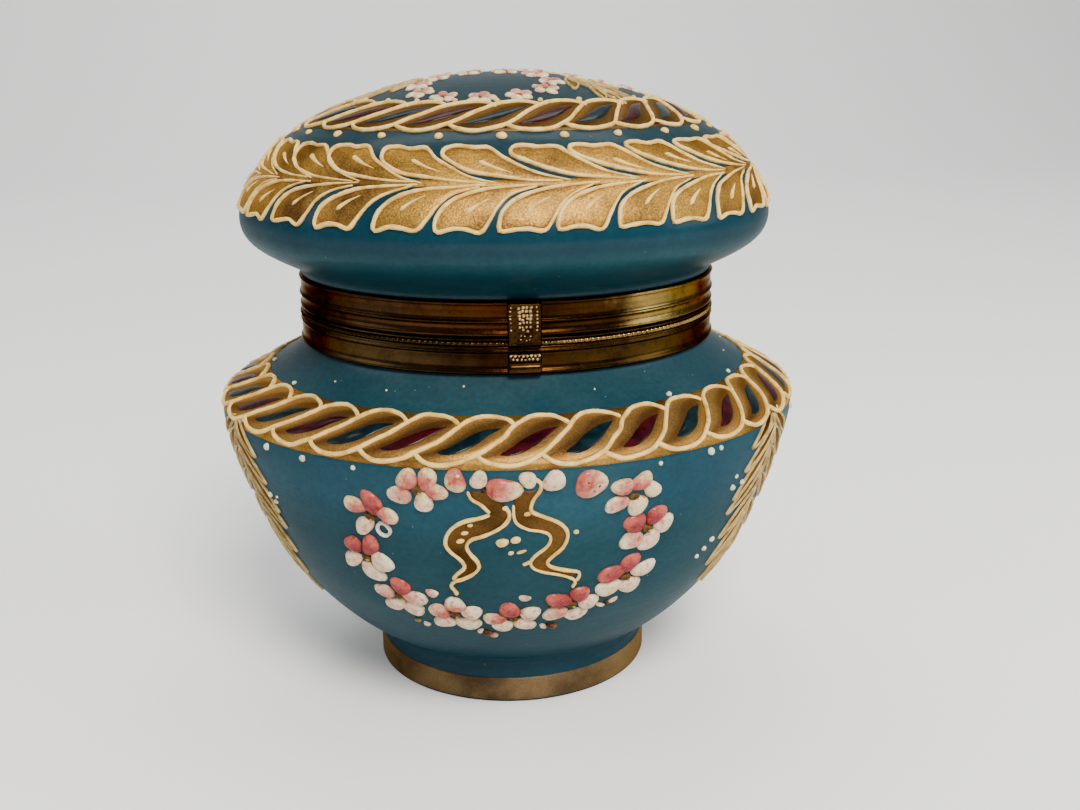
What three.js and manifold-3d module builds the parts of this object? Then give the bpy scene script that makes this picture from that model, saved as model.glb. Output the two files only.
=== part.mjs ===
// Opaline glass jewelry box: a round blown glass bowl with a hinged domed glass lid.
// Millimetres, +Z up, origin at the centre of the foot ring, the clasp towards -Y, the hinge towards +Y.
// The raised enamel (leaf garland, rope bands, flower wreaths, leaf pendants, streamers) is one body
// with the glass that it is fired on. Each brass piece is a solid of its own.
import * as THREE from 'three';
import { mergeVertices } from 'three/addons/utils/BufferGeometryUtils.js';
import Module from 'manifold-3d';

// Heights and radii of the turned outline
const TOP_Z = 137;
const LID_RADIUS = 58.9;
const LID_WIDEST_Z = 107;
const LID_NECK_RADIUS = 46.3;
const COLLAR_TOP_Z = 94.2;
const SEAM_Z = 87;
const COLLAR_BOTTOM_Z = 79.7;
const BOWL_NECK_RADIUS = 46.2;
const BOWL_RADIUS = 65.4;
const BOWL_WIDEST_Z = 64.8;
const FOOT_RADIUS = 32.2;
const FOOT_INNER_RADIUS = 26.5;
const FOOT_RECESS_DEPTH = 6.5;

// Walls and clearances
const GLASS_WALL = 3.8;
const RIM_OUTER_RADIUS = 45.2;
const RIM_INNER_RADIUS = 41.6;
const CAVITY_FLOOR_Z = 15.5;
const GAP = 0.3;
const COLLAR_INNER_RADIUS = 45.5;
const COLLAR_RADIUS = 46.9;
const FLANGE_THICKNESS = 0.7;
const FLANGE_INNER_RADIUS = 41.8;

// Hinge at the back and clasp at the front
const HINGE_Y = 49.2;
const BARREL_RADIUS = 1.9;
const BARREL_BORE = 1.1;
const PIN_RADIUS = 0.8;
const HINGE_HALF_WIDTH = 11;
const LID_KNUCKLE_HALF = 3.5;
const LEAF_PLATE_THICKNESS = 0.7;
const CLASP_WIDTH = 6.6;
const TAB_BOTTOM_Z = 85.4;
const CATCH_TOP_Z = 84.2;

// Raised enamel: heights above the glass, and how deep each pad is rooted in it
const ROOT_DEPTH = 0.5;
const LEAF_HEIGHT = 1.1;
const ROPE_HEIGHT = 1.1;
const PETAL_HEIGHT = 1.1;
const BUD_HEIGHT = 0.8;
const SPRAY_HEIGHT = 0.6;
const STREAMER_HEIGHT = 0.5;
const PATTERN_COUNT = 3;
const BODY_PATTERN_AZIMUTH = -5.5;
const TOP_PATTERN_AZIMUTH = -16;

// Rope bands and leaf garland: how many strands or leaves go round, the azimuth of one of them, where
// the band starts along the outline, and its width
const CROWN_ROPE = { strands: 24, azimuth: 8.1, start: 35, width: 10.4 };
const SHOULDER_ROPE = { strands: 34, azimuth: 9.5, start: 11.6, width: 11.6 };
const ROPE_SLANT = 1.4;
const LEAVES = 30;
const GARLAND_AZIMUTH = -5;
const STEM_ALONG = 59.6;

// Where the plain rings of the glass lie along the outlines, outside and inside
const CROWN_RINGS = [12, 24, 33.5];
const ABOVE_GARLAND_RING = 48;
const LID_SIDE_RINGS = [70, 73, 77, 83, 87.5];
const LID_INSIDE_RINGS = [83, 76, 70, 62, 50, 30];
const BOWL_SIDE_RINGS = [97, 91.5, 88.5, 78, 67.5, 57, 46, 35.5, 28.5, 25];
const NECK_RINGS = [9.5, 4.2, 0];
const BOWL_INSIDE_RINGS = [12, 24, 40, 56, 70];

// Facets around each turned piece
const SIDES = 40;
const BARREL_SIDES = 10;

const wasm = await Module();
wasm.setup();

// A closed three.js geometry, as a solid that can be joined and cut
function solidOf(geometry) {
  const bare = geometry.clone();
  bare.deleteAttribute('normal');
  bare.deleteAttribute('uv');
  const merged = mergeVertices(bare, 1e-4);
  const index = merged.index.array;
  const kept = [];
  for (let i = 0; i < index.length; i += 3) {
    const [a, b, c] = [index[i], index[i + 1], index[i + 2]];
    if (a !== b && b !== c && c !== a) kept.push(a, b, c);
  }
  return new wasm.Manifold(new wasm.Mesh({
    numProp: 3,
    vertProperties: new Float32Array(merged.attributes.position.array),
    triVerts: new Uint32Array(kept),
  }));
}

// A solid, as the geometry of a mesh
function geometryOf(solid) {
  const mesh = solid.getMesh();
  const geometry = new THREE.BufferGeometry();
  geometry.setAttribute('position', new THREE.BufferAttribute(mesh.vertProperties, 3));
  geometry.setIndex(new THREE.BufferAttribute(mesh.triVerts, 1));
  geometry.computeVertexNormals();
  return geometry;
}

// An outline of Bezier spans in radius and height, each span being four [radius, z] pairs
function outlineOf(spans) {
  const path = new THREE.CurvePath();
  for (const [a, b, c, d] of spans) {
    path.add(new THREE.CubicBezierCurve(
      new THREE.Vector2(...a), new THREE.Vector2(...b), new THREE.Vector2(...c), new THREE.Vector2(...d)));
  }
  return path;
}

// A turned solid, its profile running up the outside with the axis on its left
function turned(points, sides = SIDES) {
  const geometry = new THREE.LatheGeometry(points, sides);
  geometry.rotateX(Math.PI / 2);
  return geometry;
}

// Outline of the lid from the crown down to its neck
const lidOutline = outlineOf([
  [[0, TOP_Z], [16.1, TOP_Z], [32, 132.9], [46, 125]],
  [[46, 125], [51.2, 122.1], [LID_RADIUS, 113], [LID_RADIUS, LID_WIDEST_Z]],
  [[LID_RADIUS, LID_WIDEST_Z], [LID_RADIUS, 102], [55, 100], [48.4, 96.8]],
  [[48.4, 96.8], [47.3, 96.25], [LID_NECK_RADIUS, 95.6], [LID_NECK_RADIUS, COLLAR_TOP_Z + GAP]],
]);

// Outline of the bowl from its neck down to the floor
const bowlOutline = outlineOf([
  [[BOWL_NECK_RADIUS, COLLAR_BOTTOM_Z - GAP], [48, 76.6], [54.5, 73.4], [60, 70.6]],
  [[60, 70.6], [63.2, 68.9], [BOWL_RADIUS, 68.2], [BOWL_RADIUS, BOWL_WIDEST_Z]],
  [[BOWL_RADIUS, BOWL_WIDEST_Z], [BOWL_RADIUS, 60], [59.1, 41.6], [54.8, 33.7]],
  [[54.8, 33.7], [50.5, 25.8], [40, 13.8], [33.2, 11.3]],
  [[33.2, 11.3], [31.4, 10.4], [31.4, 7], [FOOT_RADIUS, 4.2]],
  [[FOOT_RADIUS, 4.2], [FOOT_RADIUS, 3], [FOOT_RADIUS, 1.5], [FOOT_RADIUS, 0]],
]);

const v2 = (x, y) => new THREE.Vector2(x, y);

// A chart lays the turned surface out flat: azimuth in degrees from the clasp, and millimetres
// along the outline. Its function gives the place in space, raised by some height off the glass.
function chartOf(outline) {
  const length = outline.getLength();
  return (azimuth, along, height) => {
    const u = THREE.MathUtils.clamp(along / length, 0, 1);
    const point = outline.getPointAt(u);
    const tangent = outline.getTangentAt(u);
    const radius = point.x - tangent.y * height;
    const z = point.y + tangent.x * height;
    const turn = THREE.MathUtils.degToRad(azimuth);
    return new THREE.Vector3(radius * Math.sin(turn), -radius * Math.cos(turn), z);
  };
}
const onLid = chartOf(lidOutline);
const onBowl = chartOf(bowlOutline);
const LID_OUTLINE_LENGTH = lidOutline.getLength();
const BOWL_OUTLINE_LENGTH = bowlOutline.getLength();

// Degrees of azimuth that a length in millimetres takes at a radius
const degreesFor = (length, radius) => THREE.MathUtils.radToDeg(length / radius);

// A raised pad of enamel: its rim, given in millimetres around a centre in the chart, lies under the
// glass, and its crown stands off it. In a pair [side, down], side runs with the azimuth and down
// along the outline.
function pad(chart, radius, azimuth, along, rim, crown, height) {
  const place = ([side, down], lift) => chart(azimuth + degreesFor(side, radius), along + down, lift);
  const count = rim.length;
  const corners = rim.map((point) => place(point, -ROOT_DEPTH));
  corners.push(place(crown, height), place([0, 0], -ROOT_DEPTH - height));
  const faces = [];
  for (let i = 0; i < count; i += 1) {
    const next = (i + 1) % count;
    faces.push(i, next, count, next, i, count + 1);
  }
  return closedFrom(corners, faces);
}

// A solid from corners and triangles, turned right side out where the triangles wind inwards
function closedFrom(corners, faces) {
  const geometry = new THREE.BufferGeometry();
  geometry.setAttribute('position', new THREE.Float32BufferAttribute(corners.flatMap((v) => v.toArray()), 3));
  geometry.setIndex(faces);
  const solid = solidOf(geometry);
  if (solid.volume() > 0) return solid;
  geometry.setIndex(faces.reverse());
  return solidOf(geometry);
}

// Rim of a five petalled flower
function flowerRim(radius) {
  return Array.from({ length: 10 }, (_, i) => {
    const reach = i % 2 === 0 ? radius : radius * 0.66;
    const turn = (i * Math.PI) / 5;
    return [reach * Math.sin(turn), -reach * Math.cos(turn)];
  });
}

// Rim of a round bud or drop
function budRim(radius, corners = 6) {
  return Array.from({ length: corners }, (_, i) => {
    const turn = (i * 2 * Math.PI) / corners;
    return [radius * Math.sin(turn), radius * Math.cos(turn)];
  });
}

// Oval wreath of flowers on the body, with buds where the streamers hang from. The wreaths that
// face the back are plainer, with round blooms.
function bodyWreath(azimuth, petalled) {
  const CENTRE_ALONG = 43.6;
  const HALF_WIDTH = 28.5;
  const HALF_HEIGHT = 17.6;
  const MEAN_RADIUS = 61;
  const FLOWERS = 12;
  const FLOWER_RADIUS = 5.1;
  const pieces = [];
  const bloom = (side, down, rim) => pieces.push(pad(onBowl, MEAN_RADIUS,
    azimuth + degreesFor(side, MEAN_RADIUS), CENTRE_ALONG + down, rim, [0, 0], PETAL_HEIGHT));
  for (let i = 0; i < FLOWERS; i += 1) {
    const turn = (i * 2 * Math.PI) / FLOWERS;
    const round = i === 0 ? budRim(3.6) : budRim(FLOWER_RADIUS * 0.9, 5);
    const rim = petalled && i > 0 ? flowerRim(FLOWER_RADIUS) : round;
    bloom(HALF_WIDTH * Math.sin(turn), -HALF_HEIGHT * Math.cos(turn), rim);
  }
  for (const side of [-7.6, 6.4]) bloom(side, -HALF_HEIGHT, budRim(2.2, 5));
  return pieces;
}

// Small wreath of buds on the crown of the lid
function crownWreath(azimuth) {
  const CENTRE_RADIUS = 18.5;
  const WREATH_RADIUS = 12.5;
  const BUDS = 8;
  const centre = THREE.MathUtils.degToRad(azimuth);
  const pieces = [];
  for (let i = 0; i < BUDS; i += 1) {
    const turn = (i * 2 * Math.PI) / BUDS;
    const x = CENTRE_RADIUS * Math.sin(centre) + WREATH_RADIUS * Math.sin(turn);
    const y = -CENTRE_RADIUS * Math.cos(centre) - WREATH_RADIUS * Math.cos(turn);
    const radius = Math.hypot(x, y);
    const own = THREE.MathUtils.radToDeg(Math.atan2(x, -y));
    pieces.push(pad(onLid, radius, own, radius, budRim(2.3, 5), [0, 0], BUD_HEIGHT));
  }
  return pieces;
}

// Spray of narrow leaves in pairs down a stem
function leafSpray(chart, azimuth, { radius, start, length, pairs, leaf }) {
  const leaves = [];
  for (let i = 0; i < pairs; i += 1) {
    for (const hand of [-1, 1]) {
      const side = hand * leaf * 0.6;
      const down = leaf * 0.8;
      const rim = [[0, 0], [side * 0.75, down * 0.25], [side, down], [side * 0.2, down * 0.7]];
      const foot = start + ((i + 0.15) * length) / pairs;
      leaves.push(pad(chart, radius, azimuth + degreesFor(hand * 0.3, radius), foot, rim,
        [side * 0.45, down * 0.5], SPRAY_HEIGHT));
    }
  }
  return leaves;
}

// A waving streamer of ribbon: a run of stations, each with two edges, a crown and a root
function streamer(azimuth, along, hand) {
  const LENGTH = 25;
  const STATIONS = 7;
  const WAVE = 3.6;
  const MEAN_RADIUS = 61;
  const corners = [];
  for (let i = 0; i < STATIONS; i += 1) {
    const t = i / (STATIONS - 1);
    const middle = hand * (2.4 + 4.6 * t + WAVE * Math.sin(t * 2 * Math.PI - 0.6));
    const half = 1.9 * (1 - 0.6 * t);
    const place = (side, lift) => onBowl(azimuth + degreesFor(middle + side, MEAN_RADIUS), along + LENGTH * t, lift);
    corners.push(place(-half, -ROOT_DEPTH), place(0, STREAMER_HEIGHT), place(half, -ROOT_DEPTH),
      place(0, -2 * ROOT_DEPTH));
  }
  const faces = [];
  for (let i = 0; i + 1 < STATIONS; i += 1) {
    for (let j = 0; j < 4; j += 1) {
      const [a, b] = [i * 4 + j, i * 4 + ((j + 1) % 4)];
      faces.push(a, b, b + 4, a, b + 4, a + 4);
    }
  }
  const last = (STATIONS - 1) * 4;
  faces.push(0, 2, 1, 0, 3, 2, last, last + 1, last + 2, last, last + 2, last + 3);
  return closedFrom(corners, faces);
}

// A ring of corners all the way round. The chart place of corner i comes from place(i), which gives
// [azimuth, along, lift].
function ringOf(chart, count, place) {
  const ring = [];
  for (let i = 0; i < count; i += 1) {
    const [azimuth, along, lift] = place(i);
    ring.push({ mark: i, azimuth, corner: chart(azimuth, along, lift) });
  }
  const step = 360 / count;
  ring.forEach((entry) => {
    entry.azimuth = THREE.MathUtils.euclideanModulo(entry.azimuth + step / 2, 360) - step / 2;
  });
  return ring.sort((one, other) => one.azimuth - other.azimuth);
}

// Plain rings: one on the outline, one at a given radius and height, and a point on the axis
const plainRing = (chart, along, lift = 0) => ringOf(chart, SIDES, (i) => [(i * 360) / SIDES, along, lift]);
function circleRing(radius, z) {
  const place = (azimuth) => {
    const turn = THREE.MathUtils.degToRad(azimuth);
    return new THREE.Vector3(radius * Math.sin(turn), -radius * Math.cos(turn), z);
  };
  return ringOf(place, SIDES, (i) => [(i * 360) / SIDES, 0, 0]);
}
const axisPoint = (z) => [{ mark: 0, azimuth: 0, corner: new THREE.Vector3(0, 0, z) }];

// Triangles between two rings that have the same number of corners, so that a ridge runs on from
// one ring to the next
function stitchAlike(first, firstStart, second, secondStart) {
  const faces = [];
  const count = first.length;
  const shift = second.findIndex((entry) => entry.mark === first[0].mark);
  for (let i = 0; i < count; i += 1) {
    const [a, b] = [firstStart + i, firstStart + ((i + 1) % count)];
    const c = secondStart + ((i + shift) % count);
    const d = secondStart + ((i + shift + 1) % count);
    faces.push(a, b, c, b, d, c);
  }
  return faces;
}

// Triangles between any two rings, by azimuth where their numbers of corners differ
function stitch(first, firstStart, second, secondStart) {
  if (first.length === second.length) return stitchAlike(first, firstStart, second, secondStart);
  const faces = [];
  const azimuthAt = (ring, i) => ring[i % ring.length].azimuth + (i >= ring.length ? 360 : 0);
  let i = 0;
  let j = 0;
  while (i < first.length || j < second.length) {
    const a = firstStart + (i % first.length);
    const b = secondStart + (j % second.length);
    const firstMoves = j >= second.length
      || (i < first.length && azimuthAt(first, i + 1) < azimuthAt(second, j + 1));
    if (firstMoves) {
      i += 1;
      if (first.length > 1) faces.push(a, firstStart + (i % first.length), b);
    } else {
      j += 1;
      if (second.length > 1) faces.push(a, secondStart + (j % second.length), b);
    }
  }
  return faces;
}

// A closed solid from rings that run from the axis out and back to it
function ringBody(rings) {
  const corners = rings.flatMap((ring) => ring.map((entry) => entry.corner));
  const faces = [];
  let start = 0;
  for (let k = 0; k + 1 < rings.length; k += 1) {
    const next = start + rings[k].length;
    faces.push(...stitch(rings[k], start, rings[k + 1], next));
    start = next;
  }
  return closedFrom(corners, faces);
}

// Rope band: strands that slant up to the right, each with a ridge between two grooves
function ropeRings(chart, { strands, azimuth, start, width }) {
  const ROWS = 3;
  const pitch = 360 / strands;
  return Array.from({ length: ROWS + 1 }, (_, row) => {
    const t = row / ROWS;
    const swell = ROPE_HEIGHT * (row === 0 || row === ROWS ? 0.35 : 1);
    return ringOf(chart, strands * 2, (i) => [
      azimuth + (i * pitch) / 2 - (t - 0.5) * pitch * ROPE_SLANT,
      start + t * width,
      i % 2 === 0 ? swell : 0,
    ]);
  });
}

// Leaf garland: pairs of leaves slant away to the left from a stem that runs round the shoulder,
// each with a ridge along its middle, and their ends make a scalloped edge
function garlandRings() {
  const SLANT_ABOVE = 1.25;
  const SLANT_BELOW = 0.9;
  const rows = [
    { ridge: 8.4, groove: 6, lift: 0.2 },
    { ridge: 5.4, groove: 4.4, lift: 1 },
    { ridge: 1.3, groove: 1.3, lift: 0.6 },
  ];
  const rootOf = (i) => GARLAND_AZIMUTH + (i * 180) / LEAVES;
  const leafRow = (row, side, slant) => ringOf(onLid, LEAVES * 2, (i) => {
    const isRidge = i % 2 === 0;
    const away = isRidge ? row.ridge : row.groove;
    return [rootOf(i) - away * slant, STEM_ALONG + side * away, isRidge ? row.lift * LEAF_HEIGHT : 0];
  });
  const above = rows.map((row) => leafRow(row, -1, SLANT_ABOVE));
  const stem = ringOf(onLid, LEAVES * 2, (i) => [rootOf(i), STEM_ALONG, LEAF_HEIGHT * 0.4]);
  const below = rows.map((row) => leafRow(row, 1, SLANT_BELOW)).reverse();
  return [...above, stem, ...below];
}

// Glass of the lid: the crown, the rope band and the garland, then under the bulge to the neck and
// the rim inside the brass, and back over the hollow of the dome
function lidGlass() {
  const rimZ = SEAM_Z + GAP / 2 + FLANGE_THICKNESS + GAP;
  const plain = (places, lift) => places.map((along) => plainRing(onLid, along, lift));
  return ringBody([
    axisPoint(TOP_Z),
    ...plain(CROWN_RINGS),
    ...ropeRings(onLid, CROWN_ROPE),
    ...plain([ABOVE_GARLAND_RING]),
    ...garlandRings(),
    ...plain([...LID_SIDE_RINGS, LID_OUTLINE_LENGTH]),
    circleRing(RIM_OUTER_RADIUS, COLLAR_TOP_Z + GAP),
    circleRing(RIM_OUTER_RADIUS, rimZ),
    circleRing(RIM_INNER_RADIUS, rimZ),
    circleRing(RIM_INNER_RADIUS, COLLAR_TOP_Z + 3),
    ...plain(LID_INSIDE_RINGS, -GLASS_WALL),
    axisPoint(TOP_Z - GLASS_WALL),
  ]);
}

// Glass of the bowl: the recess under the foot, the foot ring, the round body, the rope band on the
// shoulder, the neck and rim inside the brass, and back down over the hollow to its floor
function bowlGlass() {
  const rimZ = SEAM_Z - GAP / 2 - FLANGE_THICKNESS - GAP;
  const plain = (places, lift) => places.map((along) => plainRing(onBowl, along, lift));
  return ringBody([
    axisPoint(FOOT_RECESS_DEPTH),
    circleRing(FOOT_INNER_RADIUS * 0.8, FOOT_RECESS_DEPTH * 0.8),
    circleRing(FOOT_INNER_RADIUS, 0),
    ...plain([BOWL_OUTLINE_LENGTH, ...BOWL_SIDE_RINGS]),
    ...ropeRings(onBowl, SHOULDER_ROPE).reverse(),
    ...plain(NECK_RINGS),
    circleRing(RIM_OUTER_RADIUS, COLLAR_BOTTOM_Z - GAP),
    circleRing(RIM_OUTER_RADIUS, rimZ),
    circleRing(RIM_INNER_RADIUS, rimZ),
    circleRing(RIM_INNER_RADIUS, COLLAR_BOTTOM_Z - 2),
    ...plain(BOWL_INSIDE_RINGS, -GLASS_WALL),
    circleRing(FOOT_INNER_RADIUS, CAVITY_FLOOR_Z),
    axisPoint(CAVITY_FLOOR_Z),
  ]);
}

// The lid: its glass with three small wreaths of enamel on the crown
function lidPiece() {
  const pieces = [lidGlass()];
  for (let i = 0; i < PATTERN_COUNT; i += 1) {
    pieces.push(...crownWreath(TOP_PATTERN_AZIMUTH + (i * 360) / PATTERN_COUNT));
  }
  return geometryOf(wasm.Manifold.union(pieces));
}

// The bowl: its glass with the wreaths, the hanging sprays between them, and the front streamers
function bowlPiece() {
  const SPRAY = { radius: 60, start: 25, length: 38, pairs: 4, leaf: 10.5 };
  const STREAMER_START = 29.5;
  const pieces = [bowlGlass()];
  for (let i = 0; i < PATTERN_COUNT; i += 1) {
    const azimuth = BODY_PATTERN_AZIMUTH + (i * 360) / PATTERN_COUNT;
    pieces.push(...bodyWreath(azimuth, i === 0));
    pieces.push(...leafSpray(onBowl, azimuth + 180 / PATTERN_COUNT, SPRAY));
  }
  for (const hand of [-1, 1]) pieces.push(streamer(BODY_PATTERN_AZIMUTH, STREAMER_START, hand));
  return geometryOf(wasm.Manifold.union(pieces));
}

// Brass collar of the bowl: a moulded band with a flange turned in over the rim of the glass
function bowlCollar() {
  const top = SEAM_Z - GAP / 2;
  return turned([
    v2(COLLAR_INNER_RADIUS, COLLAR_BOTTOM_Z),
    v2(COLLAR_RADIUS, COLLAR_BOTTOM_Z),
    v2(COLLAR_RADIUS, COLLAR_BOTTOM_Z + 1),
    v2(COLLAR_RADIUS - 0.45, COLLAR_BOTTOM_Z + 1.6),
    v2(COLLAR_RADIUS, top - 1.4),
    v2(COLLAR_RADIUS, top),
    v2(FLANGE_INNER_RADIUS, top),
    v2(FLANGE_INNER_RADIUS, top - FLANGE_THICKNESS),
    v2(COLLAR_INNER_RADIUS, top - FLANGE_THICKNESS),
    v2(COLLAR_INNER_RADIUS, COLLAR_BOTTOM_Z),
  ]);
}

// Brass collar of the lid: the same band upside down, a little wider at its upper bead
function lidCollar() {
  const bottom = SEAM_Z + GAP / 2;
  return turned([
    v2(COLLAR_INNER_RADIUS, COLLAR_TOP_Z),
    v2(COLLAR_INNER_RADIUS, bottom + FLANGE_THICKNESS),
    v2(FLANGE_INNER_RADIUS, bottom + FLANGE_THICKNESS),
    v2(FLANGE_INNER_RADIUS, bottom),
    v2(COLLAR_RADIUS, bottom),
    v2(COLLAR_RADIUS, bottom + 1),
    v2(COLLAR_RADIUS - 0.4, COLLAR_TOP_Z - 1.6),
    v2(COLLAR_RADIUS, COLLAR_TOP_Z - 1),
    v2(COLLAR_RADIUS, COLLAR_TOP_Z),
    v2(COLLAR_INNER_RADIUS, COLLAR_TOP_Z),
  ]);
}

// One hollow knuckle of the hinge, along X
function knuckle(fromX, toX) {
  const ring = turned([
    v2(BARREL_BORE, fromX),
    v2(BARREL_RADIUS, fromX),
    v2(BARREL_RADIUS, toX),
    v2(BARREL_BORE, toX),
    v2(BARREL_BORE, fromX),
  ], BARREL_SIDES);
  ring.rotateY(Math.PI / 2);
  ring.translate(0, HINGE_Y, SEAM_Z);
  return solidOf(ring);
}

// A block between two corners
function block(x0, x1, y0, y1, z0, z1) {
  const box = new THREE.BoxGeometry(x1 - x0, y1 - y0, z1 - z0);
  box.translate((x0 + x1) / 2, (y0 + y1) / 2, (z0 + z1) / 2);
  return solidOf(box);
}

// A round bar along the axis of the box
function axisBar(radius, fromZ, toZ) {
  return solidOf(turned([v2(0, fromZ), v2(radius, fromZ), v2(radius, toZ), v2(0, toZ)]));
}

// The room that the two collars take, cut out of what is soldered on them
const collarRoom = () => axisBar(COLLAR_RADIUS + GAP, COLLAR_BOTTOM_Z - GLASS_WALL, COLLAR_TOP_Z + GLASS_WALL);

// The bore through all the knuckles, along the hinge's axis
function boreBar() {
  const reach = 2 * HINGE_HALF_WIDTH;
  const bar = turned([v2(0, -reach), v2(BARREL_BORE, -reach), v2(BARREL_BORE, reach), v2(0, reach)], BARREL_SIDES);
  bar.rotateY(Math.PI / 2);
  bar.translate(0, HINGE_Y, SEAM_Z);
  return solidOf(bar);
}

// A hinge leaf: a plate bent to the collar, the webs that carry its knuckles, and the knuckles
function hingeLeaf(plateFromZ, plateToZ, webFromZ, webToZ, spans) {
  const outer = COLLAR_RADIUS + GAP + LEAF_PLATE_THICKNESS;
  const plate = axisBar(outer, plateFromZ, plateToZ)
    .intersect(block(-HINGE_HALF_WIDTH, HINGE_HALF_WIDTH, 0, BOWL_RADIUS, 0, TOP_Z));
  const knuckles = spans.map(([a, b]) => knuckle(a, b));
  const webs = spans.map(([a, b]) => block(a, b, RIM_INNER_RADIUS, HINGE_Y, webFromZ, webToZ));
  const joined = wasm.Manifold.union([plate, ...webs, ...knuckles]);
  return geometryOf(joined.subtract(collarRoom()).subtract(boreBar()));
}

// The lower leaf with its two outer knuckles, and the upper leaf with its middle one
const LEAF_INSET = 0.4;
const WEB_HEIGHT = 3;
const plateEdge = BARREL_RADIUS + 0.1;
function hingeBowlLeaf() {
  const edge = LID_KNUCKLE_HALF + GAP;
  return hingeLeaf(COLLAR_BOTTOM_Z + LEAF_INSET, SEAM_Z - plateEdge, SEAM_Z - WEB_HEIGHT, SEAM_Z,
    [[-HINGE_HALF_WIDTH, -edge], [edge, HINGE_HALF_WIDTH]]);
}
function hingeLidLeaf() {
  return hingeLeaf(SEAM_Z + plateEdge, COLLAR_TOP_Z - LEAF_INSET, SEAM_Z, SEAM_Z + WEB_HEIGHT,
    [[-LID_KNUCKLE_HALF, LID_KNUCKLE_HALF]]);
}

// Pin through the knuckles, with a small head at each end
function hingePin() {
  const HEAD_RADIUS = 1.4;
  const end = HINGE_HALF_WIDTH + GAP;
  const pin = turned([
    v2(0, -end - 0.7),
    v2(HEAD_RADIUS * 0.6, -end - 0.7),
    v2(HEAD_RADIUS, -end - 0.3),
    v2(HEAD_RADIUS, -end),
    v2(PIN_RADIUS, -end),
    v2(PIN_RADIUS, end),
    v2(HEAD_RADIUS, end),
    v2(HEAD_RADIUS, end + 0.3),
    v2(HEAD_RADIUS * 0.6, end + 0.7),
    v2(0, end + 0.7),
  ], BARREL_SIDES);
  pin.rotateY(Math.PI / 2);
  pin.translate(0, HINGE_Y, SEAM_Z);
  return geometryOf(solidOf(pin));
}

// A clasp piece: a side profile in distance from the axis and height, pressed out along X
function claspPiece(profile) {
  const shape = new THREE.Shape(profile.map(([out, z]) => v2(-out, z)));
  const body = new THREE.ExtrudeGeometry(shape, { depth: CLASP_WIDTH, bevelEnabled: false });
  body.applyMatrix4(new THREE.Matrix4().makeBasis(
    new THREE.Vector3(0, 1, 0), new THREE.Vector3(0, 0, 1), new THREE.Vector3(1, 0, 0)));
  body.translate(-CLASP_WIDTH / 2, 0, 0);
  return geometryOf(solidOf(body).subtract(collarRoom()));
}

// Tab of the lid that drops over the seam, and the catch under it that holds it shut
const clasp = COLLAR_RADIUS + GAP;
function claspTab() {
  const top = COLLAR_TOP_Z - GAP;
  return claspPiece([[clasp - 1, top], [clasp + 1.2, top], [clasp + 1.5, top - 0.6], [clasp + 1.1, top - 1.2],
    [clasp + 1, SEAM_Z + 1], [clasp + 1.2, TAB_BOTTOM_Z + 1.2], [clasp + 1.5, TAB_BOTTOM_Z + 0.6],
    [clasp + 1.4, TAB_BOTTOM_Z], [clasp - 1, TAB_BOTTOM_Z]]);
}
function claspCatch() {
  const foot = COLLAR_BOTTOM_Z + GAP;
  return claspPiece([[clasp - 1, foot], [clasp + 1, foot], [clasp + 1.1, foot + 1.6], [clasp + 1.6, foot + 2.4],
    [clasp + 1.7, CATCH_TOP_Z - 0.5], [clasp + 1.3, CATCH_TOP_Z], [clasp - 1, CATCH_TOP_Z]]);
}

const opaline = () => new THREE.MeshStandardMaterial({ color: 0x2c6a7a, roughness: 0.38, metalness: 0 });
const agedBrass = () => new THREE.MeshStandardMaterial({ color: 0x7a5a2a, roughness: 0.35, metalness: 1 });
const brightBrass = () => new THREE.MeshStandardMaterial({ color: 0x9c7a3c, roughness: 0.3, metalness: 1 });

const group = new THREE.Group();
function add(name, geometry, material) {
  const mesh = new THREE.Mesh(geometry, material);
  mesh.name = name;
  group.add(mesh);
}

add('glass_bowl', bowlPiece(), opaline());
add('glass_lid', lidPiece(), opaline());
add('bowl_collar', geometryOf(solidOf(bowlCollar())), agedBrass());
add('lid_collar', geometryOf(solidOf(lidCollar())), agedBrass());
add('hinge_bowl_leaf', hingeBowlLeaf(), agedBrass());
add('hinge_lid_leaf', hingeLidLeaf(), agedBrass());
add('hinge_pin', hingePin(), brightBrass());
add('clasp_tab', claspTab(), brightBrass());
add('clasp_catch', claspCatch(), brightBrass());

export default group;
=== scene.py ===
"""Round jewelry box of satin opaline glass, with brass collars and raised, gilded enamel.

Lengths are millimetres until they go into a mesh. A place on the glass is given by its azimuth,
in degrees from the clasp towards the viewer's right, and by how far along the outline it lies.
"""
import math
import random

import bpy
import numpy as np
from mathutils import Matrix, Vector


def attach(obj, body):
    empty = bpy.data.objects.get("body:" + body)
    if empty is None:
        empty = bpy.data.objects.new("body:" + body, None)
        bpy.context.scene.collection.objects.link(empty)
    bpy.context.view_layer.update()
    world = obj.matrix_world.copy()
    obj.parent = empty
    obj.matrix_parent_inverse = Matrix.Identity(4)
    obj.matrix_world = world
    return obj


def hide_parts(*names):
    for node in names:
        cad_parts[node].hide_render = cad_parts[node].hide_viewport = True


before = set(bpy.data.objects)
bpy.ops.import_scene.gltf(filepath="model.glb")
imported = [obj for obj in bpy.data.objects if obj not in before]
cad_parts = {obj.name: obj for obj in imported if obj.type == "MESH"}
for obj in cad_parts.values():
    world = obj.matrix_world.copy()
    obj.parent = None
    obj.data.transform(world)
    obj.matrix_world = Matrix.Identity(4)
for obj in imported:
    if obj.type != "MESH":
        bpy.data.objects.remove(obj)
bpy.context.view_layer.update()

# Camera, pale table top and soft studio light. The camera stands a hand's breadth in front of the
# box, level with the top of the lid, and looks down a little with a slight lean.
LENS = 40.0
CAMERA_PLACE = (-0.0192, -0.2743, 0.1370)
CAMERA_PITCH = 74.42
CAMERA_HEADING = -5.55
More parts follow.
